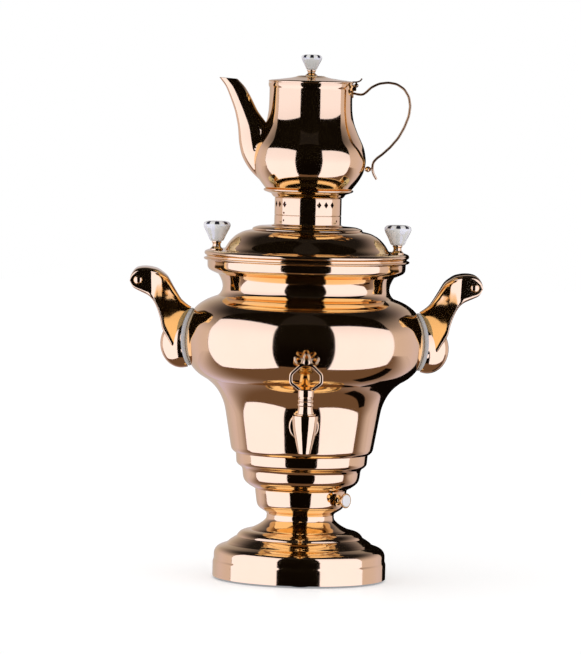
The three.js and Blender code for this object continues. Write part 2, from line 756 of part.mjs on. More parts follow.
// Side handles: hollow horns with a rounded chin, on grey gaskets
const handleSpan = 54.2;
const handleTopRise = 5.2;
const handleHeightShare = 0.892;
const handleWidth = 46;
const handleWall = 1.4;
const chinCentreShares = [0.037, 0.18];
const chinSizeShares = [0.387, 0.478, 0.281];
const gasketThickness = 3.5;
const gasketMargin = 1;
const pinRadius = 2.4;
const pinHeadRadius = 4.1;
const pinHeadHeight = 1.6;
const boltRadius = 2.5;
const boltHeadRadius = 5;
const boltHeadHeight = 3.5;
const boltHeightShare = 0.258;
const bossRadius = 5.5;
const pinSpotShares = [0.85, 0.865];
const handleShares = [
  [-0.314, 0], [0.055, 0.067], [0.199, 0.138], [0.314, 0.256], [0.399, 0.337], [0.423, 0.418], [0.463, 0.504],
  [0.517, 0.59], [0.577, 0.654], [0.648, 0.697], [0.793, 0.735], [0.941, 0.775], [1, 0.854], [0.983, 0.921],
  [0.9, 0.985], [0.78, 1.0], [0.664, 1], [0.498, 0.981], [0.323, 0.91], [0.196, 0.782], [0.059, 0.654],
  [-0.107, 0.579], [-0.31, 0.55],
];

const handleHeight = handleHeightShare * bellyHeight;
const handleTop = rimBottom + handleTopRise;
const handleBottom = handleTop - handleHeight;
const chinCentre = bellyRadius + chinCentreShares[0] * handleSpan;
const chinHeight = handleBottom + chinCentreShares[1] * handleHeight;
const chinReach = chinSizeShares[0] * handleSpan;
const chinHalfWidth = chinSizeShares[1] * handleWidth;
const chinDrop = chinSizeShares[2] * handleHeight;
const boltHeight = handleBottom + boltHeightShare * handleHeight;
const bellySeat = seatGap + gasketThickness + seatGap;
const handleOutline = new THREE.SplineCurve(
  handleShares.map(([x, z]) => at(bellyRadius + x * handleSpan, handleBottom + z * handleHeight)),
).getPoints(22);
const pinX = bellyRadius + pinSpotShares[0] * handleSpan;
const pinZ = handleBottom + pinSpotShares[1] * handleHeight;
const bellyInner = inset(thinned(bellyOuter, wallSag), sheet);
const headEdges = [boltHeight - boltHeadRadius, boltHeight + boltHeadRadius];
const headWall = Math.min(...headEdges.map((height) => radiusAt(bellyInner, height)));
const boltInner = headWall - boltHeadRadius * Math.tan(Math.PI / largeSides) - seatGap;
const bossEnd = chinCentre + chinReach - 2 * handleWall;
const boltEnd = bossEnd - 2 * handleWall;

// The handle's outer form less a wall all round; no wall gives the outside itself.
function hornForm(wall, width) {
  const shape = new THREE.Shape(wall ? inset(handleOutline, wall, true) : handleOutline);
  const chin = new THREE.SphereGeometry(1, 10, 8).rotateX(quarterTurn);
  chin.scale(chinReach - wall, chinHalfWidth - wall, chinDrop - wall).translate(chinCentre, 0, chinHeight);
  return join(slab(shape, width - 2 * wall), chin);
}

function acrossHandle(geometry) {
  return geometry.rotateX(quarterTurn).translate(pinX, 0, pinZ);
}

function hornHandle() {
  const hollow = cut(hornForm(0, handleWidth), hornForm(handleWall, handleWidth));
  const boss = pointOut(bar(bossRadius, bellyRadius / 2, bossEnd, tinySides), 0, boltHeight);
  const bore = pointOut(bar(boltRadius + seatGap, bellyRadius / 2, boltEnd + seatGap, tinySides), 0, boltHeight);
  const pinHole = acrossHandle(bar(pinRadius + seatGap, -handleWidth, handleWidth, tinySides));
  return cut(join(hollow, boss), envelope(bellyOuter, bellySeat, largeSides), bore, pinHole);
}

function handleGasket() {
  const grown = hornForm(0, handleWidth + 2 * gasketMargin);
  const plate = common(grown, envelope(bellyOuter, seatGap + gasketThickness, largeSides));
  const bore = pointOut(bar(boltRadius + seatGap, bellyRadius / 2, bossEnd, tinySides), 0, boltHeight);
  return cut(plate, envelope(bellyOuter, seatGap, largeSides), bore);
}

// The cross pin with a domed head outside each cheek
function handlePin() {
  const cheek = handleWidth / 2 + seatGap;
  const dome = [at(pinHeadRadius, cheek), at(pinHeadRadius * 0.75, cheek + pinHeadHeight * 0.75), at(0, cheek + pinHeadHeight)];
  const lower = dome.toReversed().map((p) => at(p.x, -p.y));
  return acrossHandle(revolve([...lower, at(pinRadius, -cheek), at(pinRadius, cheek), ...dome], tinySides));
}

function handleBolt() {
  const head = boltInner - boltHeadHeight;
  const profile = [
    at(0, head),
    at(boltHeadRadius, head),
    at(boltHeadRadius, boltInner),
    at(boltRadius, boltInner),
    at(boltRadius, boltEnd),
    at(0, boltEnd),
  ];
  return pointOut(revolve(profile, tinySides), 0, boltHeight);
}

function tankBelly() {
  const bolt = bar(boltRadius + seatGap, bellyRadius / 2, bellyRadius + overrun, tinySides);
  const right = pointOut(bolt.clone(), 0, boltHeight);
  const left = pointOut(bolt, Math.PI, boltHeight);
  return cut(shell(bellyOuter, sheet, largeSides), right, left);
}

// The bead is solid, so the wall inside runs straight up behind it to the lip.
function rimBand() {
  const below = rimWall.filter((p) => p.x < 0.97 * rimRadius);
  const behind = [...below, at(below.at(-1).x, lidSeat), at(rimLip, lidSeat)];
  return ring(rimOuter, inset(behind, sheet), largeSides);
}

add(urn, "tank_belly", tankBelly(), "roseGold");
add(urn, "rim_band", rimBand(), "roseGold");
for (const [side, turn] of [["right", 0], ["left", Math.PI]]) {
  add(urn, `handle_${side}`, hornHandle().rotateZ(turn), "roseGold");
  add(urn, `handle_gasket_${side}`, handleGasket().rotateZ(turn), "greySilicone");
  add(urn, `handle_pin_${side}`, handlePin().rotateZ(turn), "roseGold");
  add(urn, `handle_bolt_${side}`, handleBolt().rotateZ(turn), "steel");
}

// Lid: a stepped dome with a rolled flange and a centring skirt
const lidShares = [
  { shares: [[0.975, 0], [0.975, 0.058], [0.992, 0.068], [1, 0.122], [0.99, 0.186], [0.963, 0.219], [0.815, 0.219]] },
  { shares: [[0.795, 0.277], [0.779, 0.392], [0.748, 0.521], [0.697, 0.682], [0.62, 0.81], [0.538, 0.862]], smooth: true },
  { shares: [[0.535, 0.92], [0.516, 0.945], [0.478, 0.984], [0.41, 1]] },
];
const skirtDrop = 7;
const flangeTopShare = 0.219;
const steamRingWall = 1;
const neckDrop = 7;
const lockRingWidth = 4.8;
const lockRingThickness = 3;
const sleeveFlare = 2.7;
const windowWidth = 4.7;
const windowHeight = 6.3;
const windowPitch = (13.3 * Math.PI) / 180;
const windowGroups = [0, 1, 2, 3].map((n) => (-58.5 * Math.PI) / 180 + n * quarterTurn);
const knobSetback = 11.6;

const neckRadius = collarRadius - steamRingWall - slipGap;
const neckBore = neckRadius - sheet;
const lockRingRadius = neckRadius + lockRingWidth;
const knobCircle = lidRadius - knobSetback;
const flangeTop = lidSeat + flangeTopShare * lidHeight;
const skirtRadius = rimLip - slipGap;
const lidBore = (neckRadius + seatGap) / Math.cos(Math.PI / largeSides);
const windowMiddle = windowBottom + 0.63 * windowBandHeight;

const lidOuter = [...outline(lidRadius, lidSeat, lidHeight, lidShares), at(lidBore, collarBottom)];

function lidDome() {
  const outer = [at(skirtRadius, lidSeat - skirtDrop), at(skirtRadius, lidSeat), ...lidOuter];
  const top = thinned(lidOuter, wallSag).filter((p) => p.y >= flangeTop - seatGap && p.x < skirtRadius);
  const skirtInner = skirtRadius - sheet;
  const under = inset([at(skirtInner, flangeTop), ...top], sheet);
  const dome = ring(outer, [at(skirtInner, lidSeat - skirtDrop), ...under], largeSides);
  const studs = [-knobCircle, knobCircle].map((x) =>
    bar(studRadius + seatGap, flangeTop - overrun, flangeTop + overrun, tinySides).translate(x, 0, 0),
  );
  return cut(dome, ...studs);
}

// Steam collar: a sleeve with an inner neck, and a ring that turns on the neck over its windows
function windowCutters() {
  const cutters = [];
  for (const group of windowGroups) {
    for (const place of [-1, 0, 1]) {
      const diamond = new THREE.CylinderGeometry(0.5, 0.5, 1, 4).rotateX(quarterTurn);
      diamond.scale(windowHeight, windowWidth, collarRadius).translate(0, 0, collarRadius);
      cutters.push(pointOut(diamond, group + place * windowPitch, windowMiddle));
    }
  }
  return cutters;
}

function lidCollar() {
  const outer = [
    at(neckRadius, collarBottom - neckDrop),
    at(neckRadius, collarBottom),
    at(collarRadius + sleeveFlare, collarBottom),
    at(collarRadius + sleeveFlare, collarBottom + seatGap * 2),
    at(collarRadius, collarBottom + sleeveFlare / 2),
    at(collarRadius, windowBottom),
    at(neckRadius, windowBottom),
    at(neckRadius, restBottom),
  ];
  const inner = [at(neckBore, collarBottom - neckDrop), at(neckBore, restBottom)];
  return cut(ring(outer, inner, middleSides), ...windowCutters());
}

function steamRing() {
  const low = windowBottom + seatGap;
  const high = restBottom - seatGap;
  const bore = neckRadius + slipGap;
  return cut(tube(collarRadius, bore, low, high, middleSides), ...windowCutters());
}

function collarLockRing() {
  const top = collarBottom - sheet - seatGap;
  return tube(lockRingRadius, neckRadius + seatGap, top - lockRingThickness, top, middleSides);
}

function teapotRest() {
  const shares = [[0.765, 0], [0.8, 0.17], [0.83, 0.43], [0.97, 0.66], [1, 0.77], [1, 0.91], [0.985, 1]];
  const outer = shares.map(([r, z]) => at(r * restRadius, restBottom + z * restHeight));
  return ring(outer, [at(neckBore, restBottom), at(neckBore, teapotBottom)], middleSides);
}

// Porcelain knobs on metal ferrules, the same form at two sizes
const ferruleHeight = 7.8;
const ferruleRadius = 6.2;
const studRadius = 2;
const studRise = 9;
const studDrop = 4;
const knobPorcelainHeight = 19.2;
const knobPorcelainRadius = 12.9;
const ferruleShares = [[1, 0], [1, 0.12], [0.68, 0.32], [0.62, 0.75], [0.74, 1]];
const porcelainShares = [[0.45, 0], [0.52, 0.15], [0.66, 0.4], [0.9, 0.68], [1, 0.84], [0.66, 1]];

function ferrule({ height, radius, rise, drop }, seat) {
  const flank = ferruleShares.map(([r, z]) => at(r * radius, seat + z * height));
  const low = seat - drop;
  const top = seat + height + rise;
  return revolve(
    [at(0, low), at(studRadius, low), at(studRadius, seat), ...flank, at(studRadius, seat + height), at(studRadius, top), at(0, top)],
    tinySides,
  );
}

function porcelainKnob(radius, height, rise, seat) {
  const bottom = seat + seatGap;
  const bore = studRadius + seatGap;
  const boreTop = seat + rise + seatGap;
  const flank = porcelainShares.map(([r, z]) => at(r * radius, bottom + z * height));
  return revolve([...flank, at(0, bottom + height), at(0, boreTop), at(bore, boreTop), at(bore, bottom), flank[0]], smallSides);
}

const lidFerrule = { height: ferruleHeight, radius: ferruleRadius, rise: studRise, drop: studDrop };

add(lid, "lid_dome", lidDome(), "roseGold");
add(lid, "lid_collar", lidCollar(), "roseGold");
add(lid, "collar_lock_ring", collarLockRing(), "steel");
add(lid, "steam_ring", steamRing(), "roseGold");
add(lid, "teapot_rest", teapotRest(), "roseGold");
for (const [side, x] of [["right", knobCircle], ["left", -knobCircle]]) {
  add(lid, `lid_ferrule_${side}`, ferrule(lidFerrule, flangeTop).translate(x, 0, 0), "roseGold");
  const knob = porcelainKnob(knobPorcelainRadius, knobPorcelainHeight, studRise, flangeTop + ferruleHeight);
  add(lid, `lid_knob_${side}`, knob.translate(x, 0, 0), "porcelain");
}

// Teapot: a pear body with a gooseneck spout at -X and a strap handle at +X
const teapotShares = [
  { shares: [[0.75, 0], [0.769, 0.02]] },
  { shares: [[0.769, 0.02], [0.872, 0.089], [0.957, 0.167], [1, 0.276], [0.956, 0.408], [0.85, 0.522], [0.763, 0.636], [0.732, 0.739]], smooth: true },
  { shares: [[0.728, 0.955], [0.747, 0.98], [0.747, 1]] },
];
const teapotWall = 0.9;
const spoutOverhang = 33.1;
const spoutHalfWidth = 13;
const spoutBottom = 9;
const spoutRiseShare = 0.946;
const spoutWall = 0.9;
const strainerHole = 2;
const strainerPitch = 8;
const strainerShare = 0.33;
const handleStripThickness = 2;
const handleStripWidth = 12;
const handleStripOverhang = 40.5;
const handleStripBottom = 11.9;
const handleStripHeightShare = 0.907;
const studHeightShare = 0.102;
const studBallRadius = 2.9;
const spoutShares = [
  [0, 0.539, 0.367, 0.6], [0.083, 0.638, 0.367, 0.88], [0.24, 0.741, 0.367, 1], [0.36, 0.771, 0.39, 0.92],
  [0.52, 0.784, 0.436, 0.77], [0.677, 0.821, 0.572, 0.63], [0.917, 0.927, 0.714, 0.46], [1, 1, 0.799, 0.4],
];
const stripShares = [
  [0.02, 0.883], [0.181, 0.868], [0.241, 0.897], [0.319, 0.945], [0.451, 0.986], [0.611, 1], [0.888, 0.937],
  [0.973, 0.858], [1, 0.763], [0.98, 0.66], [0.908, 0.542], [0.808, 0.431], [0.676, 0.336], [0.543, 0.261],
  [0.438, 0.213], [0.386, 0.174], [0.372, 0.122], [0.391, 0.059], [0.451, 0],
];

const teapotOuter = outline(teapotRadius, teapotBottom, teapotHeight, teapotShares);
const spoutReach = teapotRadius + spoutOverhang;
const spoutRise = spoutRiseShare * teapotHeight;
const handleStripReach = teapotRadius + handleStripOverhang;
const handleStripHeight = handleStripHeightShare * teapotHeight;
const studHeight = handleStripBottom + studHeightShare * handleStripHeight;
const teapotMouth = teapotShares.at(-1).shares[0][0] * teapotRadius;

// Hinge between teapot and its lid
const hingePinRadius = 0.9;
const knuckleRadius = 2;
const hingeOffset = 3.4;
const hingeDrop = 1.1;
const bracketHalfWidth = 8;
const bracketDrop = 5.5;
const lidKnuckleHalfWidth = 3;

const hingeX = teapotMouth + hingeOffset;
const hingeZ = teapotRim - hingeDrop;
const rimEdge = teapotShares.at(-1).shares.at(-1)[0] * teapotRadius;

function hingeBar(radius, halfWidth) {
  return bar(radius, -halfWidth, halfWidth, tinySides).rotateX(quarterTurn).translate(hingeX, 0, hingeZ);
}

function hingeBracket() {
  const plate = block(
    [teapotMouth - teapotWall / 2, hingeX],
    [-bracketHalfWidth, bracketHalfWidth],
    [hingeZ - bracketDrop, hingeZ],
  );
  const slotHalf = lidKnuckleHalfWidth + seatGap;
  const slotLow = hingeZ - knuckleRadius - seatGap;
  const slot = block([hingeX - knuckleRadius - seatGap, hingeX + overrun], [-slotHalf, slotHalf], [slotLow, teapotRim + overrun]);
  return cut(join(plate, hingeBar(knuckleRadius, bracketHalfWidth)), slot, hingeBar(hingePinRadius + seatGap, bracketHalfWidth + overrun));
}

function strainerDrills() {
  const middle = teapotBottom + strainerShare * teapotHeight;
  const drills = [];
  for (let row = -1; row <= 1; row++) {
    const columns = row ? [-0.5, 0.5] : [-1, 0, 1];
    for (const column of columns) {
      const drill = bar(strainerHole, teapotRadius / 2, teapotRadius + overrun, hexSides);
      pointOut(drill, Math.PI, middle + row * strainerPitch);
      drills.push(drill.translate(0, column * strainerPitch, 0));
    }
  }
  return drills;
}

function teapotBody() {
  const wall = inset(thinned(teapotOuter, wallSag), teapotWall);
  const floor = teapotBottom + teapotWall;
  const inside = wall.filter((p) => p.y > floor);
  const wallFoot = at(radiusAt(wall, floor), floor);
  const vessel = revolve(
    [at(0, teapotBottom), ...teapotOuter, ...inside.toReversed(), wallFoot, at(0, floor)],
    middleSides,
  );
  return join(cut(vessel, ...strainerDrills()), hingeBracket());
}

// A tube lofted through level ellipses: each row gives height, outer reach, inner reach and half width.
function spoutForm(wall, rise) {
  const sides = 10;
  const positions = [];
  const faces = [];
  spoutShares.forEach(([z, outer, inner, width], row) => {
    const near = -outer * spoutReach + wall;
    const far = -inner * spoutReach - wall;
    const last = row === spoutShares.length - 1 ? rise : 0;
    const height = teapotBottom + spoutBottom + z * spoutRise + last + (row === 0 ? wall : 0);
    for (let side = 0; side < sides; side++) {
      const angle = (2 * Math.PI * side) / sides;
      const x = (near + far) / 2 + ((far - near) / 2) * Math.cos(angle);
      positions.push(x, (width * spoutHalfWidth - wall) * Math.sin(angle), height);
      if (row > 0) {
        const next = (side + 1) % sides;
        const [a, b, c, d] = [(row - 1) * sides + side, (row - 1) * sides + next, row * sides + next, row * sides + side];
        faces.push(a, b, c, a, c, d);
      }
    }
  });
  const top = positions.length / 3 - sides;
  for (let side = 1; side < sides - 1; side++) {
    faces.push(0, side + 1, side, top, top + side, top + side + 1);
  }
  const geometry = new THREE.BufferGeometry();
  geometry.setAttribute("position", new THREE.Float32BufferAttribute(positions, 3));
  geometry.setIndex(faces);
  return geometry;
}

function teapotSpout() {
  return cut(spoutForm(0, 0), spoutForm(spoutWall, overrun), envelope(teapotOuter, seatGap, middleSides));
}

function teapotHandle() {
  const span = handleStripReach - teapotMouth;
  const bottom = teapotBottom + handleStripBottom;
  const points = stripShares.map(([x, z]) => at(teapotMouth + x * span, bottom + z * handleStripHeight));
  const ribbon = strip(new THREE.SplineCurve(points).getPoints(26), handleStripThickness, handleStripWidth);
  return cut(ribbon, envelope(teapotOuter, seatGap, middleSides));
}

// A turned stud with a ball, between the body and the strap
function handleStud() {
  const height = teapotBottom + studHeight;
  const neck = studBallRadius / 2;
  const start = radiusAt(teapotOuter, height + neck) + seatGap;
  const stripMiddle = teapotMouth + stripShares.at(-3)[0] * (handleStripReach - teapotMouth);
  const end = stripMiddle - handleStripThickness / 2 - seatGap;
  const middle = (start + end) / 2;
  const profile = [at(0, start), at(neck, start), at(neck, middle - studBallRadius * 0.7), at(studBallRadius, middle)];
  profile.push(at(neck, middle + studBallRadius * 0.7), at(neck, end), at(0, end));
  return pointOut(revolve(profile, tinySides), 0, height);
}

// Teapot lid with hinge knuckle, thumb lever and knob
const teapotLidOverhang = 0.2;
const teapotLidRadius = rimEdge + teapotLidOverhang;
const teapotLidHeight = 9.2;
const plugDrop = 3.3;
const lidPlugGap = 0.7;
const leafThickness = 1.5;
const leafHalfWidth = 4;
const leverReach = 6.6;
const leverRise = 6;
const teapotKnobRadius = 9.6;
const teapotKnobHeight = 14.4;
const teapotFerrule = { height: 3, radius: 5.2, rise: 6, drop: 3 };
const teapotLidShares = [[0.985, 0], [1, 0.12], [0.99, 0.22], [0.9, 0.27], [0.47, 0.7], [0.33, 0.92], [0.16, 1], [0, 1]];

const teapotLidSeat = teapotRim + seatGap;
const plugRadius = teapotMouth - teapotWall - lidPlugGap;

function teapotLid() {
  const dome = teapotLidShares.map(([r, z]) => at(r * teapotLidRadius, teapotLidSeat + z * teapotLidHeight));
  const outer = [at(plugRadius, teapotLidSeat - plugDrop), at(plugRadius, teapotLidSeat), ...dome];
  const plugInner = plugRadius - teapotWall;
  const under = inset(dome.slice(3), teapotWall).filter((p) => p.x < plugInner);
  under.at(-1).x = 0;
  const inner = [at(plugInner, teapotLidSeat - plugDrop), at(plugInner, teapotLidSeat + teapotWall), ...under];
  const cover = ring(outer, inner, middleSides);
  const leafLow = hingeZ + knuckleRadius + seatGap;
  const leafTop = leafLow + leafThickness;
  const leaf = block([teapotLidRadius * 0.93, hingeX + leverReach / 2], [-leafHalfWidth, leafHalfWidth], [leafLow, leafTop]);
  const web = block([hingeX - leafThickness / 2, hingeX + leafThickness / 2], [-lidKnuckleHalfWidth, lidKnuckleHalfWidth], [hingeZ, leafTop]);
  const lever = strip(
    [at(hingeX + leverReach / 4, leafTop - leafThickness / 2), at(hingeX + leverReach, leafTop + leverRise / 2)],
    leafThickness,
    2 * leafHalfWidth,
  );
  const knuckle = hingeBar(knuckleRadius, lidKnuckleHalfWidth);
  const pinHole = hingeBar(hingePinRadius + seatGap, bracketHalfWidth + overrun);
  const seatTop = teapotLidSeat + teapotLidHeight;
  const studHole = bar(studRadius + seatGap, seatTop - overrun, seatTop + overrun, tinySides);
  return cut(join(cover, leaf, web, lever, knuckle), pinHole, studHole);
}

add(teapot, "teapot_body", teapotBody(), "roseGold");
add(teapot, "teapot_spout", teapotSpout(), "roseGold");
add(teapot, "teapot_handle", teapotHandle(), "roseGold");
add(teapot, "teapot_handle_stud", handleStud(), "roseGold");
add(teapot, "teapot_hinge_pin", hingeBar(hingePinRadius, bracketHalfWidth), "roseGold");
add(teapot, "teapot_lid", teapotLid(), "roseGold");
const teapotFerruleSeat = teapotLidSeat + teapotLidHeight;
add(teapot, "teapot_ferrule", ferrule(teapotFerrule, teapotFerruleSeat), "roseGold");
const teapotKnobSeat = teapotFerruleSeat + teapotFerrule.height;
add(teapot, "teapot_knob", porcelainKnob(teapotKnobRadius, teapotKnobHeight, teapotFerrule.rise, teapotKnobSeat), "porcelain");

export default samovar;
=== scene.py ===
"""Looks of a tabletop samovar: mirror-polished rose gold shells, porcelain knobs, grey seals."""
import json
import math

import bmesh
import bpy
import numpy as np
from mathutils import Matrix, Vector


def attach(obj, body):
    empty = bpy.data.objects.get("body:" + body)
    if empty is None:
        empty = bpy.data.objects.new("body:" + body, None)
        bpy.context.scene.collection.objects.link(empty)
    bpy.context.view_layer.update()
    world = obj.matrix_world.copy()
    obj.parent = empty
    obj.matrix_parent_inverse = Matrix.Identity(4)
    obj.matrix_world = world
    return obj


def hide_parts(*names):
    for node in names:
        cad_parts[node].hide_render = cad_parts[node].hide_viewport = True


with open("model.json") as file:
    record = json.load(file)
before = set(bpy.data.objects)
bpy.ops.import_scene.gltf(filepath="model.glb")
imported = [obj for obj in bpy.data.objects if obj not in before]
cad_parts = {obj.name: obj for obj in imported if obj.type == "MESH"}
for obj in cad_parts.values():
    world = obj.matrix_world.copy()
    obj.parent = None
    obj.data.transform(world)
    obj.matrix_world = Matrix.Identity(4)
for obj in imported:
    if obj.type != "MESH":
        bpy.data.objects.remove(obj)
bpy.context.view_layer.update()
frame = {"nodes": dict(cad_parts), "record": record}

MM = 0.001

# Softness of a broken edge, and of the line that a shell's inside follows
EDGE = 0.35
CORE_SOFTNESS = 1.6

# A shell's wall, the radii and the plinth's lower edge, in millimetres
WALL = 1.2
PLINTH_RADIUS = 82.6
STEM_RADIUS = 47
WAIST_RADIUS = 43.8
BOWL_RADIUS = 62.9
CONE_RADIUS = 92.8
BELLY_RADIUS = 115
RIM_RADIUS = 98.1
LID_RADIUS = 97.6
POT_RADIUS = 54.1
THROAT = 30.0
PLINTH_BOTTOM = 2

# Heights in millimetres, as in the solids
STEM_BOTTOM = 47.0
WAIST_BOTTOM = 64.0
BOWL_BOTTOM = 86.0
CONE_BOTTOM = 120.5
BELLY_BOTTOM = 190.0
RIM_BOTTOM = 289.8
LID_SEAT = 305.8
FLANGE_TOP = 312.6
COLLAR_BOTTOM = 336.9
WINDOW_BOTTOM = 347.0
REST_BOTTOM = 364.0
TEAPOT_BOTTOM = 371.0
TEAPOT_RIM = 472.5

# Sides of a full turn, by the size of the piece
TANK_SIDES = 192
SHELL_SIDES = 160
TAP_SIDES = 96
BUD_SIDES = 96
KNOB_SIDES = 72
STUD_SIDES = 64
RIVET_SIDES = 48
HINGE_SIDES = 40
PIN_SIDES = 32

# How near corners are one and how short an edge is none, in metres, and a sharp bend
SAME_PLACE = 2e-6
NO_LENGTH = 1e-7
SHARP_BEND = math.radians(38)


# ---------------- curves


def eased(points, softness, step=0.2):
    """A polyline walked at even steps and averaged with a bell curve of the given width.
    The ends stay put, because the line goes on past them by point reflection."""
    p = np.asarray(points, float)
    run = np.r_[0, np.cumsum(np.linalg.norm(np.diff(p, axis=0), axis=1))]
    count = max(int(run[-1] / step), 8)
    walk = np.linspace(0, run[-1], count + 1)
    q = np.stack([np.interp(walk, run, column) for column in p.T], 1)
    pace = run[-1] / count
    reach = min(int(3 * softness / pace) + 1, count)
    bell = np.exp(-0.5 * (np.arange(-reach, reach + 1) * pace / softness) ** 2)
    bell /= bell.sum()
    before = 2 * q[0] - q[reach:0:-1]
    after = 2 * q[-1] - q[-2 : -reach - 2 : -1]
    line = np.concatenate([before, q, after])
    return np.stack([np.convolve(column, bell, "valid") for column in line.T], 1)


def sampled(points, length=2.5, degrees=5.0):
    """Keeps a point for each stretch of length or turn of heading, so bends get the most."""
    d = np.diff(points, axis=0)
    heading = np.unwrap(np.arctan2(d[:, 1], d[:, 0]))
    turn = np.abs(np.diff(heading, prepend=heading[0]))
    cost = np.linalg.norm(d, axis=1) / length + turn / np.radians(degrees)
    cost = np.r_[0, np.cumsum(cost)]
    wanted = np.linspace(0, cost[-1], int(cost[-1]) + 2)
    return np.stack([np.interp(wanted, cost, column) for column in points.T], 1)


def profile(radius, bottom, top, *runs):
    """Runs of (softness, shares), each eased by its own softness, joined by straight lines
    and then eased once more by the width of a broken edge. The shares are of the radius and
    of the height from bottom to top."""
    size = (radius, top - bottom)
    parts = [eased(np.array(s) * size + (0, bottom), soft) for soft, s in runs]
    return eased(np.concatenate(parts), EDGE)


def joined(*lines):
    """Lines and single points, one after another."""
    return np.concatenate([np.atleast_2d(line) for line in lines])


def walled(outer, wall=WALL):
    """The outline, then back along a copy moved inwards by the wall. The copy is eased first,
    so that beads and small steps stay solid."""
    core = eased(outer, CORE_SOFTNESS)
    d = np.gradient(core, axis=0)
    normal = np.stack([-d[:, 1], d[:, 0]], 1)
    inner = core + wall * normal / np.linalg.norm(normal, axis=1, keepdims=True)
    return np.concatenate([sampled(outer), sampled(inner, length=4, degrees=9)[::-1]])


def at_fraction(curve, fractions):
    """Points of an evenly walked curve at fractions of its length."""
    place = np.linspace(0, 1, len(curve))
    return np.stack([np.interp(fractions, place, column) for column in curve.T], 1)


def superellipse(count, power):
    """Cosine and sine, each raised to two over the power with its sign kept."""
    t = np.linspace(0, 2 * np.pi, count, endpoint=False)
    c, s = np.cos(t), np.sin(t)
    return np.sign(c) * np.abs(c) ** (2 / power), np.sign(s) * np.abs(s) ** (2 / power)


# ---------------- surfaces


def turned(loop, sides=SHELL_SIDES):
    """A closed loop of radius and height swept round Z: x = r sin a, y = -r cos a, z = h."""
    a = np.linspace(0, 2 * np.pi, sides, endpoint=False)
    r, z = np.asarray(loop, float)[:, 0, None], np.asarray(loop, float)[:, 1, None]
    grid = np.stack([r * np.sin(a), -r * np.cos(a), z + 0 * a], -1)
    return grid, True, True


def capped(grid):
    """Closes both ends of a tube with a row drawn together at its middle."""
    ends = [np.broadcast_to(row.mean(0), row.shape)[None] for row in (grid[0], grid[-1])]
    return np.concatenate([ends[0], grid, ends[1]]), False, True


def carried(path, width_a, width_b, power, count, closed=False):
    """A superellipse carried along a path in X and Z: half width a along the path's normal
    and half width b along Y."""
    p = np.asarray(path, float)
    d = np.roll(p, -1, 0) - np.roll(p, 1, 0) if closed else np.gradient(p, axis=0)
    normal = np.stack([-d[:, 1], d[:, 0]], 1)
    normal /= np.linalg.norm(normal, axis=1, keepdims=True)
    c, s = superellipse(count, power)
    a = np.broadcast_to(width_a, len(p))[:, None]
    b = np.broadcast_to(width_b, len(p))[:, None]
    x = p[:, 0, None] + normal[:, 0, None] * a * c
    z = p[:, 1, None] + normal[:, 1, None] * a * c
    grid = np.stack([x, b * s + 0 * x, z], -1)
    return (grid, True, True) if closed else capped(grid)


def quads(rows, columns, wrap_rows, wrap_columns):
    """Corner numbers of a grid's faces, row by row, wrapped where the grid closes on itself."""
    i = np.arange(rows if wrap_rows else rows - 1)[:, None]
    j = np.arange(columns if wrap_columns else columns - 1)[None, :]
    i2, j2 = (i + 1) % rows, (j + 1) % columns
    corners = [i * columns + j, i * columns + j2, i2 * columns + j2, i2 * columns + j]
    return np.stack(corners, -1).reshape(-1, 4)


def moved(surface, shift=(0, 0, 0), toward=None, height=0.0):
    """A surface shifted, or first laid over so that its own Z points out from the urn's axis
    at an angle."""
    grid, wrap_rows, wrap_columns = surface
    if toward is not None:
        out = np.array([math.cos(toward), math.sin(toward), 0])
        side = np.array([-math.sin(toward), math.cos(toward), 0])
        grid = grid[..., 2:] * out + grid[..., :1] * side + grid[..., 1:2] * (0, 0, -1)
        grid = grid + (0, 0, height)
    return grid + np.asarray(shift, float), wrap_rows, wrap_columns


def across(surface, x, z):
    """A surface turned about its own Z, laid along Y and moved to x and z."""
    grid, wrap_rows, wrap_columns = surface
    laid = np.stack([grid[..., 0] + x, grid[..., 2], -grid[..., 1] + z], -1)
    return laid, wrap_rows, wrap_columns


def mesh_of(name, surfaces):
    """One mesh from several grids in millimetres, doubles merged and normals pointing out."""
    points, faces, first = [], [], 0
    for grid, wrap_rows, wrap_columns in surfaces:
        rows, columns = grid.shape[:2]
        points.append(grid.reshape(-1, 3) * MM)
        faces.append(quads(rows, columns, wrap_rows, wrap_columns) + first)
        first += rows * columns
    mesh = bpy.data.meshes.new(name)
    mesh.from_pydata(np.concatenate(points).tolist(), [], np.concatenate(faces).tolist())
    tidy(mesh)
    return mesh


def tidy(mesh):
    """Merges doubles, drops faces without area, points faces out and smooths gentle bends."""
    bm = bmesh.new()
    bm.from_mesh(mesh)
    bmesh.ops.remove_doubles(bm, verts=bm.verts, dist=SAME_PLACE)
    bmesh.ops.dissolve_degenerate(bm, edges=bm.edges, dist=NO_LENGTH)
    bmesh.ops.recalc_face_normals(bm, faces=bm.faces)
    bm.to_mesh(mesh)
    bm.free()
    mesh.polygons.foreach_set("use_smooth", np.ones(len(mesh.polygons), bool))
    mesh.set_sharp_from_angle(angle=SHARP_BEND)


def cut_out(obj, surfaces):
    """Cuts closed surfaces out of a piece."""
    cutter = bpy.data.objects.new("cutter", mesh_of("cutter", surfaces))
    bpy.context.scene.collection.objects.link(cutter)
    boolean = obj.modifiers.new("cut", "BOOLEAN")
    boolean.operation = "DIFFERENCE"
    boolean.solver = "EXACT"
    boolean.object = cutter
    graph = bpy.context.evaluated_depsgraph_get()
    made = bpy.data.meshes.new_from_object(obj.evaluated_get(graph))
    obj.modifiers.clear()
    obj.data = made
    bpy.data.objects.remove(cutter)
    tidy(made)


# ---------------- materials


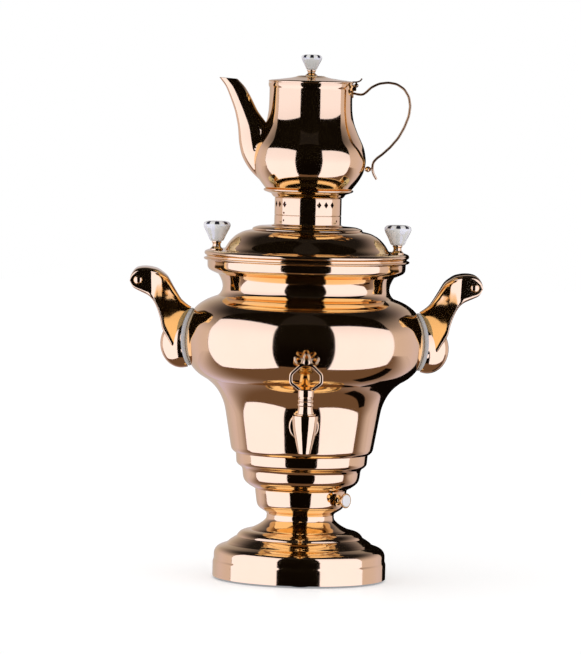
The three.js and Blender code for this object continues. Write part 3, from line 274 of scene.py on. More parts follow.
def linear(code):
    """Linear colour from an sRGB hex code: a straight line near black, else a power of 2.4."""
    c = np.array([int(code[i : i + 2], 16) for i in (1, 3, 5)]) / 255
    value = np.where(c <= 0.04045, c / 12.92, ((c + 0.055) / 1.055) ** 2.4)
    return (*value.tolist(), 1.0)


def add(tree, kind, feeds=None, **settings):
    """Adds a node with its settings, and feeds its inputs with values or other nodes' outputs."""
    node = tree.nodes.new(kind)
    for key, value in settings.items():
        setattr(node, key, value)
    for key, value in (feeds or {}).items():
        if isinstance(value, bpy.types.NodeSocket):
            tree.links.new(value, node.inputs[key])
        else:
            node.inputs[key].default_value = value
    return node


def blank(name):
    """A new material and its empty node tree."""
    material = bpy.data.materials.new(name)
    material.use_nodes = True
    material.node_tree.nodes.clear()
    return material, material.node_tree


def close(tree, shader):
    """Makes a shader the material's surface."""
    add(tree, "ShaderNodeOutputMaterial", {"Surface": shader.outputs[0]})


def object_place(tree):
    """The place on the piece, in metres."""
    return add(tree, "ShaderNodeTexCoord").outputs["Object"]


def axis_distance(tree, place):
    """The distance from the Z axis: the length of x and y."""
    flat = add(tree, "ShaderNodeVectorMath", {0: place, 1: (1, 1, 0)}, operation="MULTIPLY")
    length = add(tree, "ShaderNodeVectorMath", {0: flat.outputs[0]}, operation="LENGTH")
    return length.outputs["Value"]


def worked_out(tree, operation, *values):
    """The result of one sum, product or function."""
    return add(tree, "ShaderNodeMath", dict(enumerate(values)), operation=operation).outputs[0]


def noise(tree, place, size, detail):
    """Soft noise in patches of about so many metres."""
    feeds = {"Vector": place, "Scale": 1 / size, "Detail": detail}
    return add(tree, "ShaderNodeTexNoise", feeds).outputs["Fac"]


def bumped(tree, height, strength, depth):
    """A normal that follows a height, over so many metres."""
    feeds = {"Height": height, "Strength": strength, "Distance": depth}
    return add(tree, "ShaderNodeBump", feeds).outputs["Normal"]


def blend_colour(tree, factor, low, high):
    """A colour ramp between two hex colours."""
    ramp = add(tree, "ShaderNodeValToRGB", {"Fac": factor})
    ramp.color_ramp.elements[0].color = linear(low)
    ramp.color_ramp.elements[1].color = linear(high)
    return ramp.outputs["Color"]


def scaled(tree, factor, low, high):
    """A factor from 0 to 1 spread between two numbers."""
    feeds = {"Value": factor, "To Min": low, "To Max": high}
    return add(tree, "ShaderNodeMapRange", feeds).outputs["Result"]


def smooth_share(tree, value, low, high, start=0.0, end=1.0):
    """Eases from start to end while a value goes from low to high."""
    feeds = {"Value": value, "From Min": low, "From Max": high, "To Min": start, "To Max": end}
    ramp = add(tree, "ShaderNodeMapRange", feeds, interpolation_type="SMOOTHSTEP")
    return ramp.outputs["Result"]


def rose_gold_plate():
    """Brass sheet, spun on a lathe, plated in rose gold and buffed to a mirror. The buffing
    leaves rings too shallow to see singly, which draw out the highlights along the height."""
    material, tree = blank("buffed_rose_gold_plate")
    place = object_place(tree)
    height = add(tree, "ShaderNodeSeparateXYZ", {0: place}).outputs["Z"]
    along = worked_out(tree, "ADD", axis_distance(tree, place), height)
    # Tool rings about 1.5 mm apart
    feeds = {"W": along, "Scale": 1 / 0.0015, "Detail": 1.0}
    rings = add(tree, "ShaderNodeTexNoise", feeds, noise_dimensions="1D").outputs["Fac"]
    # Wipe marks and handling film, patches of about 30 mm
    film = noise(tree, place, 0.03, 4.0)
    feeds = {
        "Base Color": blend_colour(tree, film, "#F1CA84", "#F6D18A"),
        "Metallic": 1.0,
        "Roughness": scaled(tree, film, 0.05, 0.09),
        "Normal": bumped(tree, rings, 0.02, 0.0001),
    }
    close(tree, add(tree, "ShaderNodeBsdfPrincipled", feeds))
    return material


def satin_metal(name, low, high, rough, grain):
    """Turned or drawn metal left as machined: fine lines along one way, uneven gloss."""
    material, tree = blank(name)
    stretch = {"Vector": object_place(tree), "Scale": (1, 1, 12)}
    lines = noise(tree, add(tree, "ShaderNodeMapping", stretch).outputs[0], grain, 5.0)
    feeds = {
        "Base Color": blend_colour(tree, lines, low, high),
        "Metallic": 1.0,
        "Roughness": scaled(tree, lines, rough - 0.06, rough + 0.08),
        "Normal": bumped(tree, lines, 0.2, 0.00005),
    }
    close(tree, add(tree, "ShaderNodeBsdfPrincipled", feeds))
    return material


def moulded(name, low, high, rough, grain, depth):
    """Moulded rubber or plastic: one even colour with the fine pebble of the tool's surface."""
    material, tree = blank(name)
    place = object_place(tree)
    pebble = noise(tree, place, grain, 3.0)
    cloud = noise(tree, place, 0.02, 2.0)
    feeds = {
        "Base Color": blend_colour(tree, cloud, low, high),
        "Roughness": scaled(tree, pebble, rough - 0.06, rough + 0.06),
        "Normal": bumped(tree, pebble, 0.35, depth),
    }
    close(tree, add(tree, "ShaderNodeBsdfPrincipled", feeds))
    return material


PETALS = 8.0


def petal_marked_porcelain(name, centre, crown, radius):
    """Glazed hard porcelain whose colour carries dark petal marks round the crown.
    A petal is where the cosine of so many times the angle is high, on the outer part of the
    radius and near the crown's height."""
    material, tree = blank(name)
    place = object_place(tree)
    shift = [-v * MM for v in centre]
    local = add(tree, "ShaderNodeMapping", {"Vector": place, "Location": shift}).outputs[0]
    axes = add(tree, "ShaderNodeSeparateXYZ", {0: local}).outputs
    angle = worked_out(tree, "ARCTAN2", axes["Y"], axes["X"])
    wave = worked_out(tree, "COSINE", worked_out(tree, "MULTIPLY", angle, PETALS))
    petal = smooth_share(tree, wave, -0.1, 0.35)
    reach = axis_distance(tree, local)
    ring = smooth_share(tree, reach, 0.62 * radius * MM, 0.74 * radius * MM)
    above = smooth_share(tree, axes["Z"], (crown - 3.6) * MM, (crown - 2.8) * MM)
    # Dark petal marks drawn into the colour, round the top of the crown
    mark = worked_out(tree, "MULTIPLY", worked_out(tree, "MULTIPLY", petal, ring), above)
    # The body colour clouds by a hair over 6 mm, as fired paste does
    cloud = noise(tree, place, 0.006, 3.0)
    white = blend_colour(tree, cloud, "#EFEEEC", "#F8F7F5")
    # Sockets 6 and 7 are the two colours of a mix, and 2 is the mixed one
    tones = {"Factor": mark, 6: white, 7: linear("#23222A")}
    feeds = {
        "Base Color": add(tree, "ShaderNodeMix", tones, data_type="RGBA").outputs[2],
        "Roughness": scaled(tree, cloud, 0.06, 0.12),
        "IOR": 1.5,
        "Coat Weight": 0.6,
        "Coat Roughness": 0.03,
    }
    close(tree, add(tree, "ShaderNodeBsdfPrincipled", feeds))
    return material


# A crown above every piece, in millimetres
NO_PETALS = 999


def plain_porcelain(name):
    """The same porcelain without petals."""
    return petal_marked_porcelain(name, (0, 0, 0), NO_PETALS, 1)


finishes = {
    "rose_gold": rose_gold_plate(),
    "steel": satin_metal("turned_stainless_steel", "#AEB1B4", "#C4C7CA", 0.3, 0.0008),
    "aluminium": satin_metal("cast_aluminium", "#B7B9BB", "#CDCFD1", 0.45, 0.0015),
    "brass": satin_metal("machined_brass", "#BE9A52", "#D2AE6A", 0.32, 0.0008),
    "grey_silicone": moulded("grey_silicone_seal", "#B6B4AF", "#C0BEB9", 0.6, 0.0007, 0.00004),
    "black_rubber": moulded("black_rubber", "#19191B", "#232325", 0.8, 0.0006, 0.00006),
    "black_plastic": moulded("moulded_black_nylon", "#1E1E21", "#29292D", 0.5, 0.0005, 0.00003),
    "porcelain": plain_porcelain("plain_porcelain"),
}
for part in frame["record"]["subparts"]:
    node = frame["nodes"][part["node"]]
    node.data.materials.clear()
    node.data.materials.append(finishes[part["material_slot"]])


def piece(name, surfaces, body, nodes, slot, finish=None):
    """Makes a piece from its surfaces, seats it on its body and hides the solids it stands for.
    Its material is its slot's, or one of its own."""
    obj = bpy.data.objects.new(name, mesh_of(name, surfaces))
    bpy.context.scene.collection.objects.link(obj)
    obj.data.materials.append(finish or finishes[slot])
    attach(obj, body)
    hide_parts(*nodes)
    return obj


def gold(name, surfaces, body, *nodes):
    """A piece in rose gold."""
    return piece(name, surfaces, body, nodes, "rose_gold")


# ---------------- foot and column

plinth_outline = joined(
    profile(
        PLINTH_RADIUS,
        PLINTH_BOTTOM,
        STEM_BOTTOM,
        (0.7, [[1, 0], [1, 0.318], [0.988, 0.368]]),
        (1.2, [[0.988, 0.49], [0.983, 0.535], [0.966, 0.591], [0.935, 0.636], [0.86, 0.684]]),
        (0.8, [[0.852, 0.687], [0.838, 0.7], [0.82, 0.742], [0.75, 0.828], [0.735, 0.84]]),
        (0.8, [[0.73, 0.845], [0.717, 0.893], [0.692, 0.942], [0.66, 0.973], [0.599, 1]]),
    ),
    [THROAT, STEM_BOTTOM],
)
plinth = gold("plinth_shell", [turned(walled(plinth_outline))], "urn", "base_plinth")


def box_surface(x, y, z):
    """A box as a tube of square rings closed at both ends."""
    ring = np.array([[x[0], z[0]], [x[1], z[0]], [x[1], z[1]], [x[0], z[1]]])
    rows = [np.stack([ring[:, 0], np.full(4, level), ring[:, 1]], 1) for level in y]
    return capped(np.stack(rows))


# The opening for the inlet, through the rear wall
cut_out(plinth, [box_surface((-13.8, 13.8), (50, 95), (4.2, 21.8))])

stem_outline = joined(
    [THROAT, STEM_BOTTOM],
    profile(
        STEM_RADIUS,
        STEM_BOTTOM,
        WAIST_BOTTOM,
        (0.3, [[1, 0], [0.983, 0.059]]),
        (1.5, [[0.983, 0.059], [0.853, 0.235], [0.749, 0.447], [0.685, 0.612], [0.681, 0.894]]),
        (0.4, [[0.681, 0.894], [0.706, 1]]),
    ),
)
gold("stem_shell", [turned(walled(stem_outline))], "urn", "column_stem")

waist_outline = joined(
    profile(
        WAIST_RADIUS,
        WAIST_BOTTOM,
        BOWL_BOTTOM,
        (1.5, [
            [0.758, 0], [0.845, 0.1], [0.927, 0.218], [0.957, 0.364], [0.972, 0.57],
            [0.986, 0.773],
        ]),
        (0.4, [[0.986, 0.773], [1, 1]]),
    ),
    [THROAT, BOWL_BOTTOM],
)
gold("waist_shell", [turned(walled(waist_outline))], "urn", "waist_housing")

bowl_outline = joined(
    [THROAT, BOWL_BOTTOM],
    profile(
        BOWL_RADIUS,
        BOWL_BOTTOM,
        CONE_BOTTOM,
        (0.3, [[0.7, 0], [0.706, 0.02]]),
        (1.8, [[0.706, 0.02], [0.779, 0.087], [0.859, 0.203], [0.884, 0.319], [0.895, 0.522]]),
        (0.8, [[0.895, 0.522], [0.913, 0.603], [0.967, 0.661], [0.99, 0.725], [1, 0.971]]),
        (0.3, [[1, 0.971], [0.998, 1]]),
    ),
    [50, CONE_BOTTOM],
)
gold("bowl_shell", [turned(walled(bowl_outline))], "urn", "stepped_bowl")

FOOT_CIRCLE = 64
sole = [[7.8, 0], [9, 0.5], [9, 2], [1.9, 2], [1.9, 0.9], [3.7, 0.9], [3.7, 0], [7.8, 0]]
foot_pad = turned(sampled(eased(sole, 0.12, 0.08), 1, 15)[:-1], STUD_SIDES)
for number, angle in enumerate((30, 150, 270), start=1):
    a = math.radians(angle)
    pad = moved(foot_pad, (FOOT_CIRCLE * math.cos(a), FOOT_CIRCLE * math.sin(a), 0))
    piece(f"foot_pad_{number}", [pad], "urn", [f"rubber_foot_{number}"], "black_rubber")

# ---------------- tank

cone_outline = joined(
    [56, CONE_BOTTOM],
    profile(
        CONE_RADIUS,
        CONE_BOTTOM,
        BELLY_BOTTOM,
        (0.4, [[0.69, 0], [0.696, 0.004], [0.721, 0.036], [0.731, 0.071]]),
        (4.0, [
            [0.731, 0.071], [0.745, 0.177], [0.78, 0.45], [0.804, 0.64], [0.837, 0.753],
            [0.884, 0.862], [0.94, 0.942], [0.985, 0.986], [1, 1],
        ]),
    ),
)
gold("cone_shell", [turned(walled(cone_outline), TANK_SIDES)], "urn", "tank_cone")

belly_outline = profile(
    BELLY_RADIUS,
    BELLY_BOTTOM,
    RIM_BOTTOM,
    (4.5, [
        [0.807, 0], [0.85, 0.023], [0.904, 0.072], [0.961, 0.16], [0.993, 0.276],
        [1.0, 0.391], [0.983, 0.531], [0.93, 0.657], [0.89, 0.703], [0.837, 0.745],
        [0.781, 0.775], [0.727, 0.795],
    ]),
    (2.5, [
        [0.727, 0.795], [0.706, 0.816], [0.691, 0.852], [0.687, 0.875], [0.694, 0.925],
        [0.71, 0.968], [0.728, 1],
    ]),
)
gold("belly_shell", [turned(walled(belly_outline), TANK_SIDES)], "urn", "tank_belly")

rim_outline = joined(
    profile(
        RIM_RADIUS,
        RIM_BOTTOM,
        LID_SEAT,
        (0.8, [[0.853, 0], [0.905, 0.13], [0.944, 0.25], [0.96, 0.4], [0.962, 0.8]]),
        (0.5, [[0.964, 0.83], [0.985, 0.835], [1, 0.9], [0.996, 0.97], [0.979, 1]]),
    ),
    [92, LID_SEAT],
)
gold("rim_shell", [turned(walled(rim_outline), TANK_SIDES)], "urn", "rim_band")

# ---------------- side handles


def radius_at(outline, z):
    """The radius of a turned shell at a height, read off its outline."""
    order = np.argsort(outline[:, 1])
    return np.interp(z, outline[order, 1], outline[order, 0])


def pushed_out(surface, clearance, outline):
    """Points nearer the urn's axis than a shell and a clearance are moved straight out to it."""
    grid, wrap_rows, wrap_columns = surface
    r = np.hypot(grid[..., 0], grid[..., 1])
    wanted = np.maximum(r, radius_at(outline, grid[..., 2]) + clearance)
    scale = (wanted / np.maximum(r, 1e-9))[..., None]
    out = grid * np.concatenate([scale, scale, np.ones_like(scale)], -1)
    return out, wrap_rows, wrap_columns


# The horn reaches this far past the belly's widest circle. Grip is half its width at the tip
SPAN, HORN_BOTTOM, HORN_HEIGHT, GRIP = 52.3, 206.0, 89.0, 26.0
HORN_TIP = BELLY_RADIUS + SPAN
PIN_X, PIN_Z = BELLY_RADIUS + 0.85 * SPAN, HORN_BOTTOM + 0.865 * HORN_HEIGHT
lower_edge = [
    [-0.314, 0], [0.055, 0.067], [0.199, 0.138], [0.314, 0.256], [0.399, 0.337], [0.423, 0.418],
    [0.463, 0.504], [0.517, 0.59], [0.577, 0.654], [0.648, 0.697], [0.793, 0.735], [0.941, 0.775],
    [1, 0.854],
]
upper_edge = [
    [-0.31, 0.55], [-0.107, 0.579], [0.059, 0.654], [0.196, 0.782], [0.323, 0.91], [0.498, 0.981],
    [0.664, 1], [0.78, 1], [0.9, 0.985], [0.983, 0.921], [1, 0.854],
]
# The cheek's angle in degrees at distances inwards from the tip, along its lower edge and
# along its upper one
CHEEK_ANGLES = [0, 0, 22.5, 32, 40, 29, 26]
LOWER_BENDS = [0, 19, 20.5, 24, 26, 32, 60]
UPPER_BENDS = [0, 19, 20.5, 30, 32, 38, 60]


def cheek(x, share):
    """The horn's half width: flat at the grip, then drawn in towards the belly, at once along
    its lower edge and slowly along its upper one. Share is -1 below and 1 above."""
    inwards = np.linspace(0, 60, 241)
    fallen = []
    for bends in (LOWER_BENDS, UPPER_BENDS):
        angle = np.radians(np.interp(inwards, bends, CHEEK_ANGLES))
        run = np.cumsum(np.tan(angle)) * (inwards[1] - inwards[0])
        fallen.append(np.interp(HORN_TIP - x, inwards, run))
    return GRIP - fallen[0] - (fallen[1] - fallen[0]) * (share + 1) / 2


def horn():
    """Flat-cheeked superellipse sections between a lower and an upper edge. The half width is
    the grip's at the tip, then falls by the running sum of the tangent of the cheek's angle."""

    def edge(shares):
        """An edge in millimetres, eased and walked at 120 even places."""
        line = np.array(shares) * (SPAN, HORN_HEIGHT) + (BELLY_RADIUS, HORN_BOTTOM)
        return at_fraction(eased(line, 2.2), np.linspace(0, 1, 120))

    low, high = edge(lower_edge), edge(upper_edge)
    c, s = superellipse(112, 9.0)
    middle, half = ((low + high) / 2)[:, None], ((high - low) / 2)[:, None]
    flat = middle + half * c[:, None]
    return capped(np.stack([flat[..., 0], cheek(flat[..., 0], c) * s, flat[..., 1]], -1))


CHIN_X, CHIN_Z = 117, 222.6
CHIN_RADII = (20.4, 13, 23.4)


def chin():
    """An ellipsoid: x and y by the cosine of the latitude, z by its sine."""
    lat = np.linspace(-np.pi / 2, np.pi / 2, 48)[:, None]
    lon = np.linspace(0, 2 * np.pi, 72, endpoint=False)[None, :]
    x = CHIN_X + CHIN_RADII[0] * np.cos(lat) * np.cos(lon)
    y = CHIN_RADII[1] * np.cos(lat) * np.sin(lon)
    z = CHIN_Z + CHIN_RADII[2] * np.sin(lat) + 0 * lon
    return np.stack([x, y, z], -1), False, True


# The pad's faces by their distance from the belly, its middle height and its half sizes
PAD_BACK, PAD_FRONT = 0.1, 3.9
PAD_Z, PAD_HALF_WIDTH, PAD_HALF_HEIGHT = 229.0, 15, 27.5


def gasket():
    """A plate with a rounded edge laid on the belly: at each height and breadth it stands off
    the wall by its back face, then by its front face."""
    c, s = superellipse(160, 3.0)
    edge = np.linspace(-np.pi / 2, np.pi / 2, 13)
    spread = np.concatenate([[0, 0.4, 0.8], 0.955 + 0.045 * np.cos(edge), [0.8, 0.4, 0]])
    round_edge = (PAD_BACK + PAD_FRONT) / 2 + (PAD_FRONT - PAD_BACK) / 2 * np.sin(edge)
    gap = np.concatenate([[PAD_BACK] * 3, round_edge, [PAD_FRONT] * 3])
    y = PAD_HALF_WIDTH * spread[:, None] * s
    z = PAD_Z + PAD_HALF_HEIGHT * spread[:, None] * c
    x = np.sqrt((radius_at(belly_outline, z) + gap[:, None]) ** 2 - y**2)
    return np.stack([x, y, z], -1), False, True


def half_turned(surface):
    """A surface after half a turn round the urn's axis."""
    grid, wrap_rows, wrap_columns = surface
    return grid * (-1, -1, 1), wrap_rows, wrap_columns


def rivet(radius, head, reach):
    """A cross pin with a low dome outside each cheek, which is at reach."""
    dome = [
        [0, reach + 1.6], [head * 0.5, reach + 1.35], [head * 0.88, reach + 0.6],
        [head, reach - 0.4], [radius, reach - 0.4],
    ]
    half = eased(dome, 0.25, 0.1)
    return sampled(np.concatenate([half, half[::-1] * (1, -1)]), 1, 10)


for side, turn in (("right", lambda s: s), ("left", half_turned)):
    shells = [pushed_out(form, PAD_FRONT, belly_outline) for form in (horn(), chin())]
    gold(f"horn_{side}", [turn(s) for s in shells], "urn", f"handle_{side}")
    piece(f"seal_{side}", [turn(gasket())], "urn", [f"handle_gasket_{side}"], "grey_silicone")
    pin = across(turned(rivet(2.4, 4.1, GRIP + 0.3), RIVET_SIDES), PIN_X, PIN_Z)
    gold(f"cross_pin_{side}", [turn(pin)], "urn", f"handle_pin_{side}")

# ---------------- tap

REACH, TAP_Z, OUTLET, BARREL_TOP = 132.0, 152.0, 131, 166.0


def at_tap(surface):
    """A surface moved from the urn's axis to the barrel's."""
    return moved(surface, (0, -REACH, 0))


def on_shank(loop, sides):
    """A loop turned round the shank's axis, which points to the user."""
    return moved(turned(loop, sides), toward=-math.pi / 2, height=TAP_Z)


barrel_outline = profile(
    11.9,
    OUTLET,
    BARREL_TOP,
    (1.5, [
        [0.48, 0], [0.5, 0.03], [0.62, 0.2], [0.74, 0.39], [0.88, 0.59], [0.95, 0.785],
        [1, 0.94],
    ]),
    (0.3, [[1, 0.94], [0.985, 1]]),
)
bore = [[8.4, BARREL_TOP], [6.4, 142.4], [4.4, 142.2], [4.4, OUTLET]]
barrel = at_tap(turned(joined(sampled(barrel_outline), bore), TAP_SIDES))
shank = on_shank([[4.2, 57], [7, 57], [7, 121.5], [4.2, 121.5]], STUD_SIDES)
gold("tap_casting", [barrel, shank], "urn", "tap_body")
disc = eased([[7.3, 66], [14, 66], [14, 78.0], [13.2, 78.9], [7.3, 79.4]], 0.3)
gold("tap_rose", [on_shank(sampled(disc, 2, 8), TAP_SIDES)], "urn", "tap_escutcheon")
gland = eased([[8, 166], [9.2, 166.1], [9.6, 167], [9.2, 167.9], [8, 168], [8, 166]], 0.2, 0.08)
gland_ring = at_tap(turned(sampled(gland, 1, 12)[:-1], TAP_SIDES))
gold("tap_gland_ring", [gland_ring], "urn", "tap_gland")

KEY_FOOT = BARREL_TOP - 0.3
KEY_TOP = KEY_FOOT + 25
stem = profile(
    7.4,
    KEY_FOOT,
    KEY_TOP,
    (0.4, [[1.02, 0.0], [1.02, 0.1], [0.96, 0.16], [0.86, 0.36]]),
    (0.35, [
        [0.86, 0.36], [0.98, 0.4], [0.98, 0.46], [0.88, 0.5], [0.88, 0.52], [1.0, 0.56],
        [1.0, 0.6], [0.88, 0.64], [0.9, 0.68], [0.98, 0.72],
    ]),
    (0.4, [[0.98, 0.72], [0.98, 0.95], [0.84, 1]]),
)
key_loop = joined([[0, 142.6], [6, 142.6], [7.6, 164]], sampled(stem, 1.5, 8), [0, KEY_TOP])


def closed_eased(points, softness):
    """A closed line eased without a seam: it is walked three times and the middle turn kept."""
    p = np.asarray(points, float)
    around = eased(np.concatenate([p, p, p, p[:1]]), softness)
    third = len(around) // 3
    return around[third : 2 * third]


# Each leaf's lean in degrees, its place beside the axis and its height as a share
LEAVES = ((0, 0, 1.27), (50, 7.6, 1.17), (-50, -7.6, 1.17))


def key_handle():
    """A lyre loop of rounded rod, three pierced leaves over it and a boss between them. Each
    leaf is an ellipse laid over at an angle and drawn to a point by its cosine."""
    foot, width, tall = KEY_FOOT + 23.9, 14.1, 23.6
    right = [
        [0.3, -0.04], [0.5, 0.06], [0.96, 0.27], [1, 0.34], [1, 0.56], [0.96, 0.64],
        [0.6, 0.85], [0.42, 0.95], [0.24, 1],
    ]
    left = np.array(right)[::-1] * (-1, 1)
    loop = closed_eased(np.concatenate([right, left]) * (width, tall) + (0, foot), 0.6)
    rod = at_fraction(loop, np.linspace(0, 1, 140, endpoint=False))
    surfaces = [carried(rod, 1.7, 2.2, 3.0, 24, True)]
    turn = np.linspace(0, 2 * np.pi, 56, endpoint=False)
    for lean, x, z in LEAVES:
        along, over = 3.9 * np.cos(turn), 2.7 * np.sin(turn) * (1 - 0.25 * np.cos(turn))
        c, s = math.cos(math.radians(90 - lean)), math.sin(math.radians(90 - lean))
        ring = np.stack([x + along * c - over * s, foot + z * tall + along * s + over * c], 1)
        surfaces.append(carried(ring, 1.05, 1.9, 2.6, 18, True))
    boss = eased([[0, -2.6], [2.2, -2.4], [3.7, -1.4], [3.7, 1.4], [2.2, 2.4], [0, 2.6]], 0.5, 0.1)
    boss = turned(sampled(boss, 1, 12), RIVET_SIDES)
    return surfaces + [across(boss, 0, foot + 1.09 * tall)]


key_parts = [turned(key_loop, TAP_SIDES)] + key_handle()
gold("clover_key", [at_tap(s) for s in key_parts], "tap_key_part", "tap_key")

# ---------------- thermostat knob

KNOB_ANGLE, KNOB_Z = math.radians(-40), 79.0
KNOB_BACK = 45.1


def knob_side(loop):
    """A loop turned round the knob's axis, which points out from the waist."""
    return moved(turned(loop, KNOB_SIDES), toward=KNOB_ANGLE, height=KNOB_Z)


trumpet = [
    [2.6, 0], [5.6, 0], [5.4, 0.9], [3.7, 3.0], [3.9, 4.9], [5.6, 7.4], [7.0, 9.2], [7.15, 10.4],
    [6.9, 11], [6.3, 11], [6.2, 10.2], [0, 10.2],
]
socket = [[0, 6], [2.6, 6]]
trumpet = joined(sampled(eased(trumpet, 0.35, 0.1), 1.2, 8), socket) + (0, KNOB_BACK)
gold("control_trumpet", [knob_side(trumpet)], "control_knob", "thermostat_knob")
cap = [[0, 10.2], [5.85, 10.2], [5.85, 10.9], [5.0, 11.3], [0, 11.5]]
cap = knob_side(sampled(eased(cap, 0.2, 0.08) + (0, KNOB_BACK), 1, 10))
glaze = plain_porcelain("plain_white_cap")
piece("control_cap", [cap], "control_knob", ["thermostat_knob_cap"], "porcelain", glaze)

# ---------------- lid, collar and teapot rest

lid_outline = joined(
    profile(
        LID_RADIUS,
        LID_SEAT,
        COLLAR_BOTTOM,
        (0.45, [
            [0.975, 0], [0.975, 0.058], [0.99, 0.066], [1, 0.122], [0.992, 0.182],
            [0.963, 0.219],
        ]),
        (0.4, [[0.963, 0.219], [0.82, 0.219]]),
        (2.2, [
            [0.812, 0.225], [0.795, 0.277], [0.779, 0.392], [0.748, 0.521], [0.697, 0.682],
            [0.62, 0.81], [0.545, 0.858],
        ]),
        (0.7, [[0.538, 0.862], [0.535, 0.92], [0.516, 0.945], [0.478, 0.984], [0.41, 1]]),
    ),
    [30.9, COLLAR_BOTTOM],
)
# Under the flange the lid goes on as a plain skirt inside the rim
SKIRT_OUT, SKIRT_IN, SKIRT_BOTTOM = 91.4, 90.2, 298.8
inside = walled(lid_outline)[len(sampled(lid_outline)) :]
under = inside[(inside[:, 0] < SKIRT_IN) & (inside[:, 1] > FLANGE_TOP - 2)]
skirt = [[SKIRT_IN, SKIRT_BOTTOM], [SKIRT_OUT, SKIRT_BOTTOM], [SKIRT_OUT, LID_SEAT]]
lid_loop = joined(sampled(lid_outline), under, [SKIRT_IN, FLANGE_TOP - WALL], skirt)
gold("lid_shell", [turned(lid_loop, TANK_SIDES)], "lid", "lid_dome")

# Degrees between windows, the middle of the first group, and the windows' height
PITCH, FIRST_GROUP = 13.3, -58.5
WINDOW_MID = WINDOW_BOTTOM + 0.63 * (REST_BOTTOM - WINDOW_BOTTOM)
NECK_IN, NECK_OUT = 29, 30.2
HOLE_RADIUS = 1.05


def prism(outline, reach):
    """An outline carried straight along Z from one height to another, closed at both ends."""
    rows = [np.concatenate([outline, np.full((len(outline), 1), d)], 1) for d in reach]
    return capped(np.stack(rows))


def diamonds(reach):
    """Four groups of three lozenge prisms that point out from the axis."""
    lozenge = prism([[0, 3.15], [2.35, 0], [0, -3.15], [-2.35, 0]], reach)
    angles = [FIRST_GROUP + 90 * group + PITCH * p for group in range(4) for p in (-1, 0, 1)]
    return [moved(lozenge, toward=math.radians(a), height=WINDOW_MID) for a in angles]


def spots(degrees, height, reach):
    """Small round holes at angles from the front, at one height."""
    t = np.linspace(0, 2 * np.pi, 16, endpoint=False)
    drill = prism(np.stack([HOLE_RADIUS * np.cos(t), HOLE_RADIUS * np.sin(t)], 1), reach)
    return [moved(drill, toward=math.radians(a - 90), height=height) for a in degrees]


sleeve = [
    [NECK_IN, 329.9], [NECK_OUT, 329.9], [NECK_OUT, COLLAR_BOTTOM], [34.2, COLLAR_BOTTOM],
    [34.5, 337.3], [33.4, 337.7], [32.3, 338.0], [31.8, 338.6], [31.8, WINDOW_BOTTOM],
    [NECK_OUT, WINDOW_BOTTOM],
]
sleeve = joined(eased(sleeve, 0.25, 0.1), [NECK_IN, WINDOW_BOTTOM])
collar = gold("collar_sleeve", [turned(sampled(sleeve, 3, 10))], "lid", "lid_collar")
cut_out(collar, spots((-46.8, 58.2, 133.2, 238.2), 342.5, (31, 33)))
# The neck starts a hair above the sleeve, so that their faces don't coincide
neck = [[NECK_IN, 347.02], [NECK_OUT, 347.02], [NECK_OUT, REST_BOTTOM], [NECK_IN, REST_BOTTOM]]
neck = gold("collar_neck", [turned(neck)], "lid", "lid_collar")
cut_out(neck, diamonds((27, 33)))
ring_loop = [
    [30.8, 347.3], [31.5, 347.3], [31.8, 347.6], [31.8, 363.4], [31.5, 363.7], [30.8, 363.7],
    [30.8, 347.3],
]
ring_loop = sampled(eased(ring_loop, 0.12, 0.08), 3, 15)[:-1]
vent = gold("vent_ring", [turned(ring_loop)], "steam_ring_part", "steam_ring")
cut_out(vent, diamonds((29, 34)) + spots((-46.8, 133.2), 349.6, (30, 33)))

rest = [
    [NECK_IN, REST_BOTTOM], [32.6, REST_BOTTOM], [33.9, 365.2], [35.4, 367.4], [41.0, 369.3],
    [42.4, 370.0], [42.7, 370.9], [42.5, 371.7], [42.0, 371.9], [41.4, TEAPOT_BOTTOM],
    [NECK_IN, TEAPOT_BOTTOM],
]
gold("rest_dish", [turned(sampled(eased(rest, 0.35, 0.1), 3, 8))], "lid", "teapot_rest")

# The gap between a seat and what stands on it
SEAT_GAP = 0.3


def ferrule_loop(radius, height, foot, drop, rise):
    """A turned ferrule with a waist, on a stud that goes on below and above it."""
    flank = [
        [1, 0], [1, 0.1], [0.86, 0.2], [0.66, 0.36], [0.6, 0.6], [0.62, 0.75], [0.76, 0.86],
        [0.74, 1],
    ]
    turned_part = eased(np.array(flank) * (radius, height) + (0, foot), 0.25, 0.1)
    top = foot + height
    stud_low = [[0, foot - drop], [2, foot - drop], [2, foot]]
    stud_high = [[2, top], [2, top + rise], [0, top + rise]]
    return joined(stud_low, sampled(turned_part, 1, 10), stud_high)


def porcelain_loop(radius, height, foot):
    """A knob that flares like a bud and closes in a low dome, with a socket for its stud."""
    flank = [
        [0.3, 0], [0.46, 0], [0.52, 0.05], [0.64, 0.24], [0.8, 0.46], [0.94, 0.64], [1, 0.77],
        [0.97, 0.88], [0.86, 0.95], [0.66, 0.99], [0.3, 1], [0, 1],
    ]
    bud = eased(np.array(flank) * (radius, height) + (0, foot), 0.7, 0.15)
    return joined(sampled(bud, 1.5, 6), [[0, foot + 2], [2.3, foot + 2], [2.3, foot]])


def knob_pair(name, x, foot, ferrule_size, knob_size, body, nodes):
    """A ferrule, by radius, height and its stud's drop and rise, and the porcelain knob on it with
    its dark petal marks, by radius and height."""
    radius, height, drop, rise = ferrule_size
    knob_radius, knob_height = knob_size
    ferrule = turned(ferrule_loop(radius, height, foot, drop, rise), KNOB_SIDES)
    gold(f"{name}_ferrule", [moved(ferrule, (x, 0, 0))], body, nodes[0])
    seat = foot + height + SEAT_GAP
    glaze = petal_marked_porcelain(f"{name}_porcelain", (x, 0, 0), seat + knob_height, knob_radius)
    bud = turned(porcelain_loop(knob_radius, knob_height, seat), BUD_SIDES)
    piece(f"{name}_bud", [moved(bud, (x, 0, 0))], body, [nodes[1]], "porcelain", glaze)


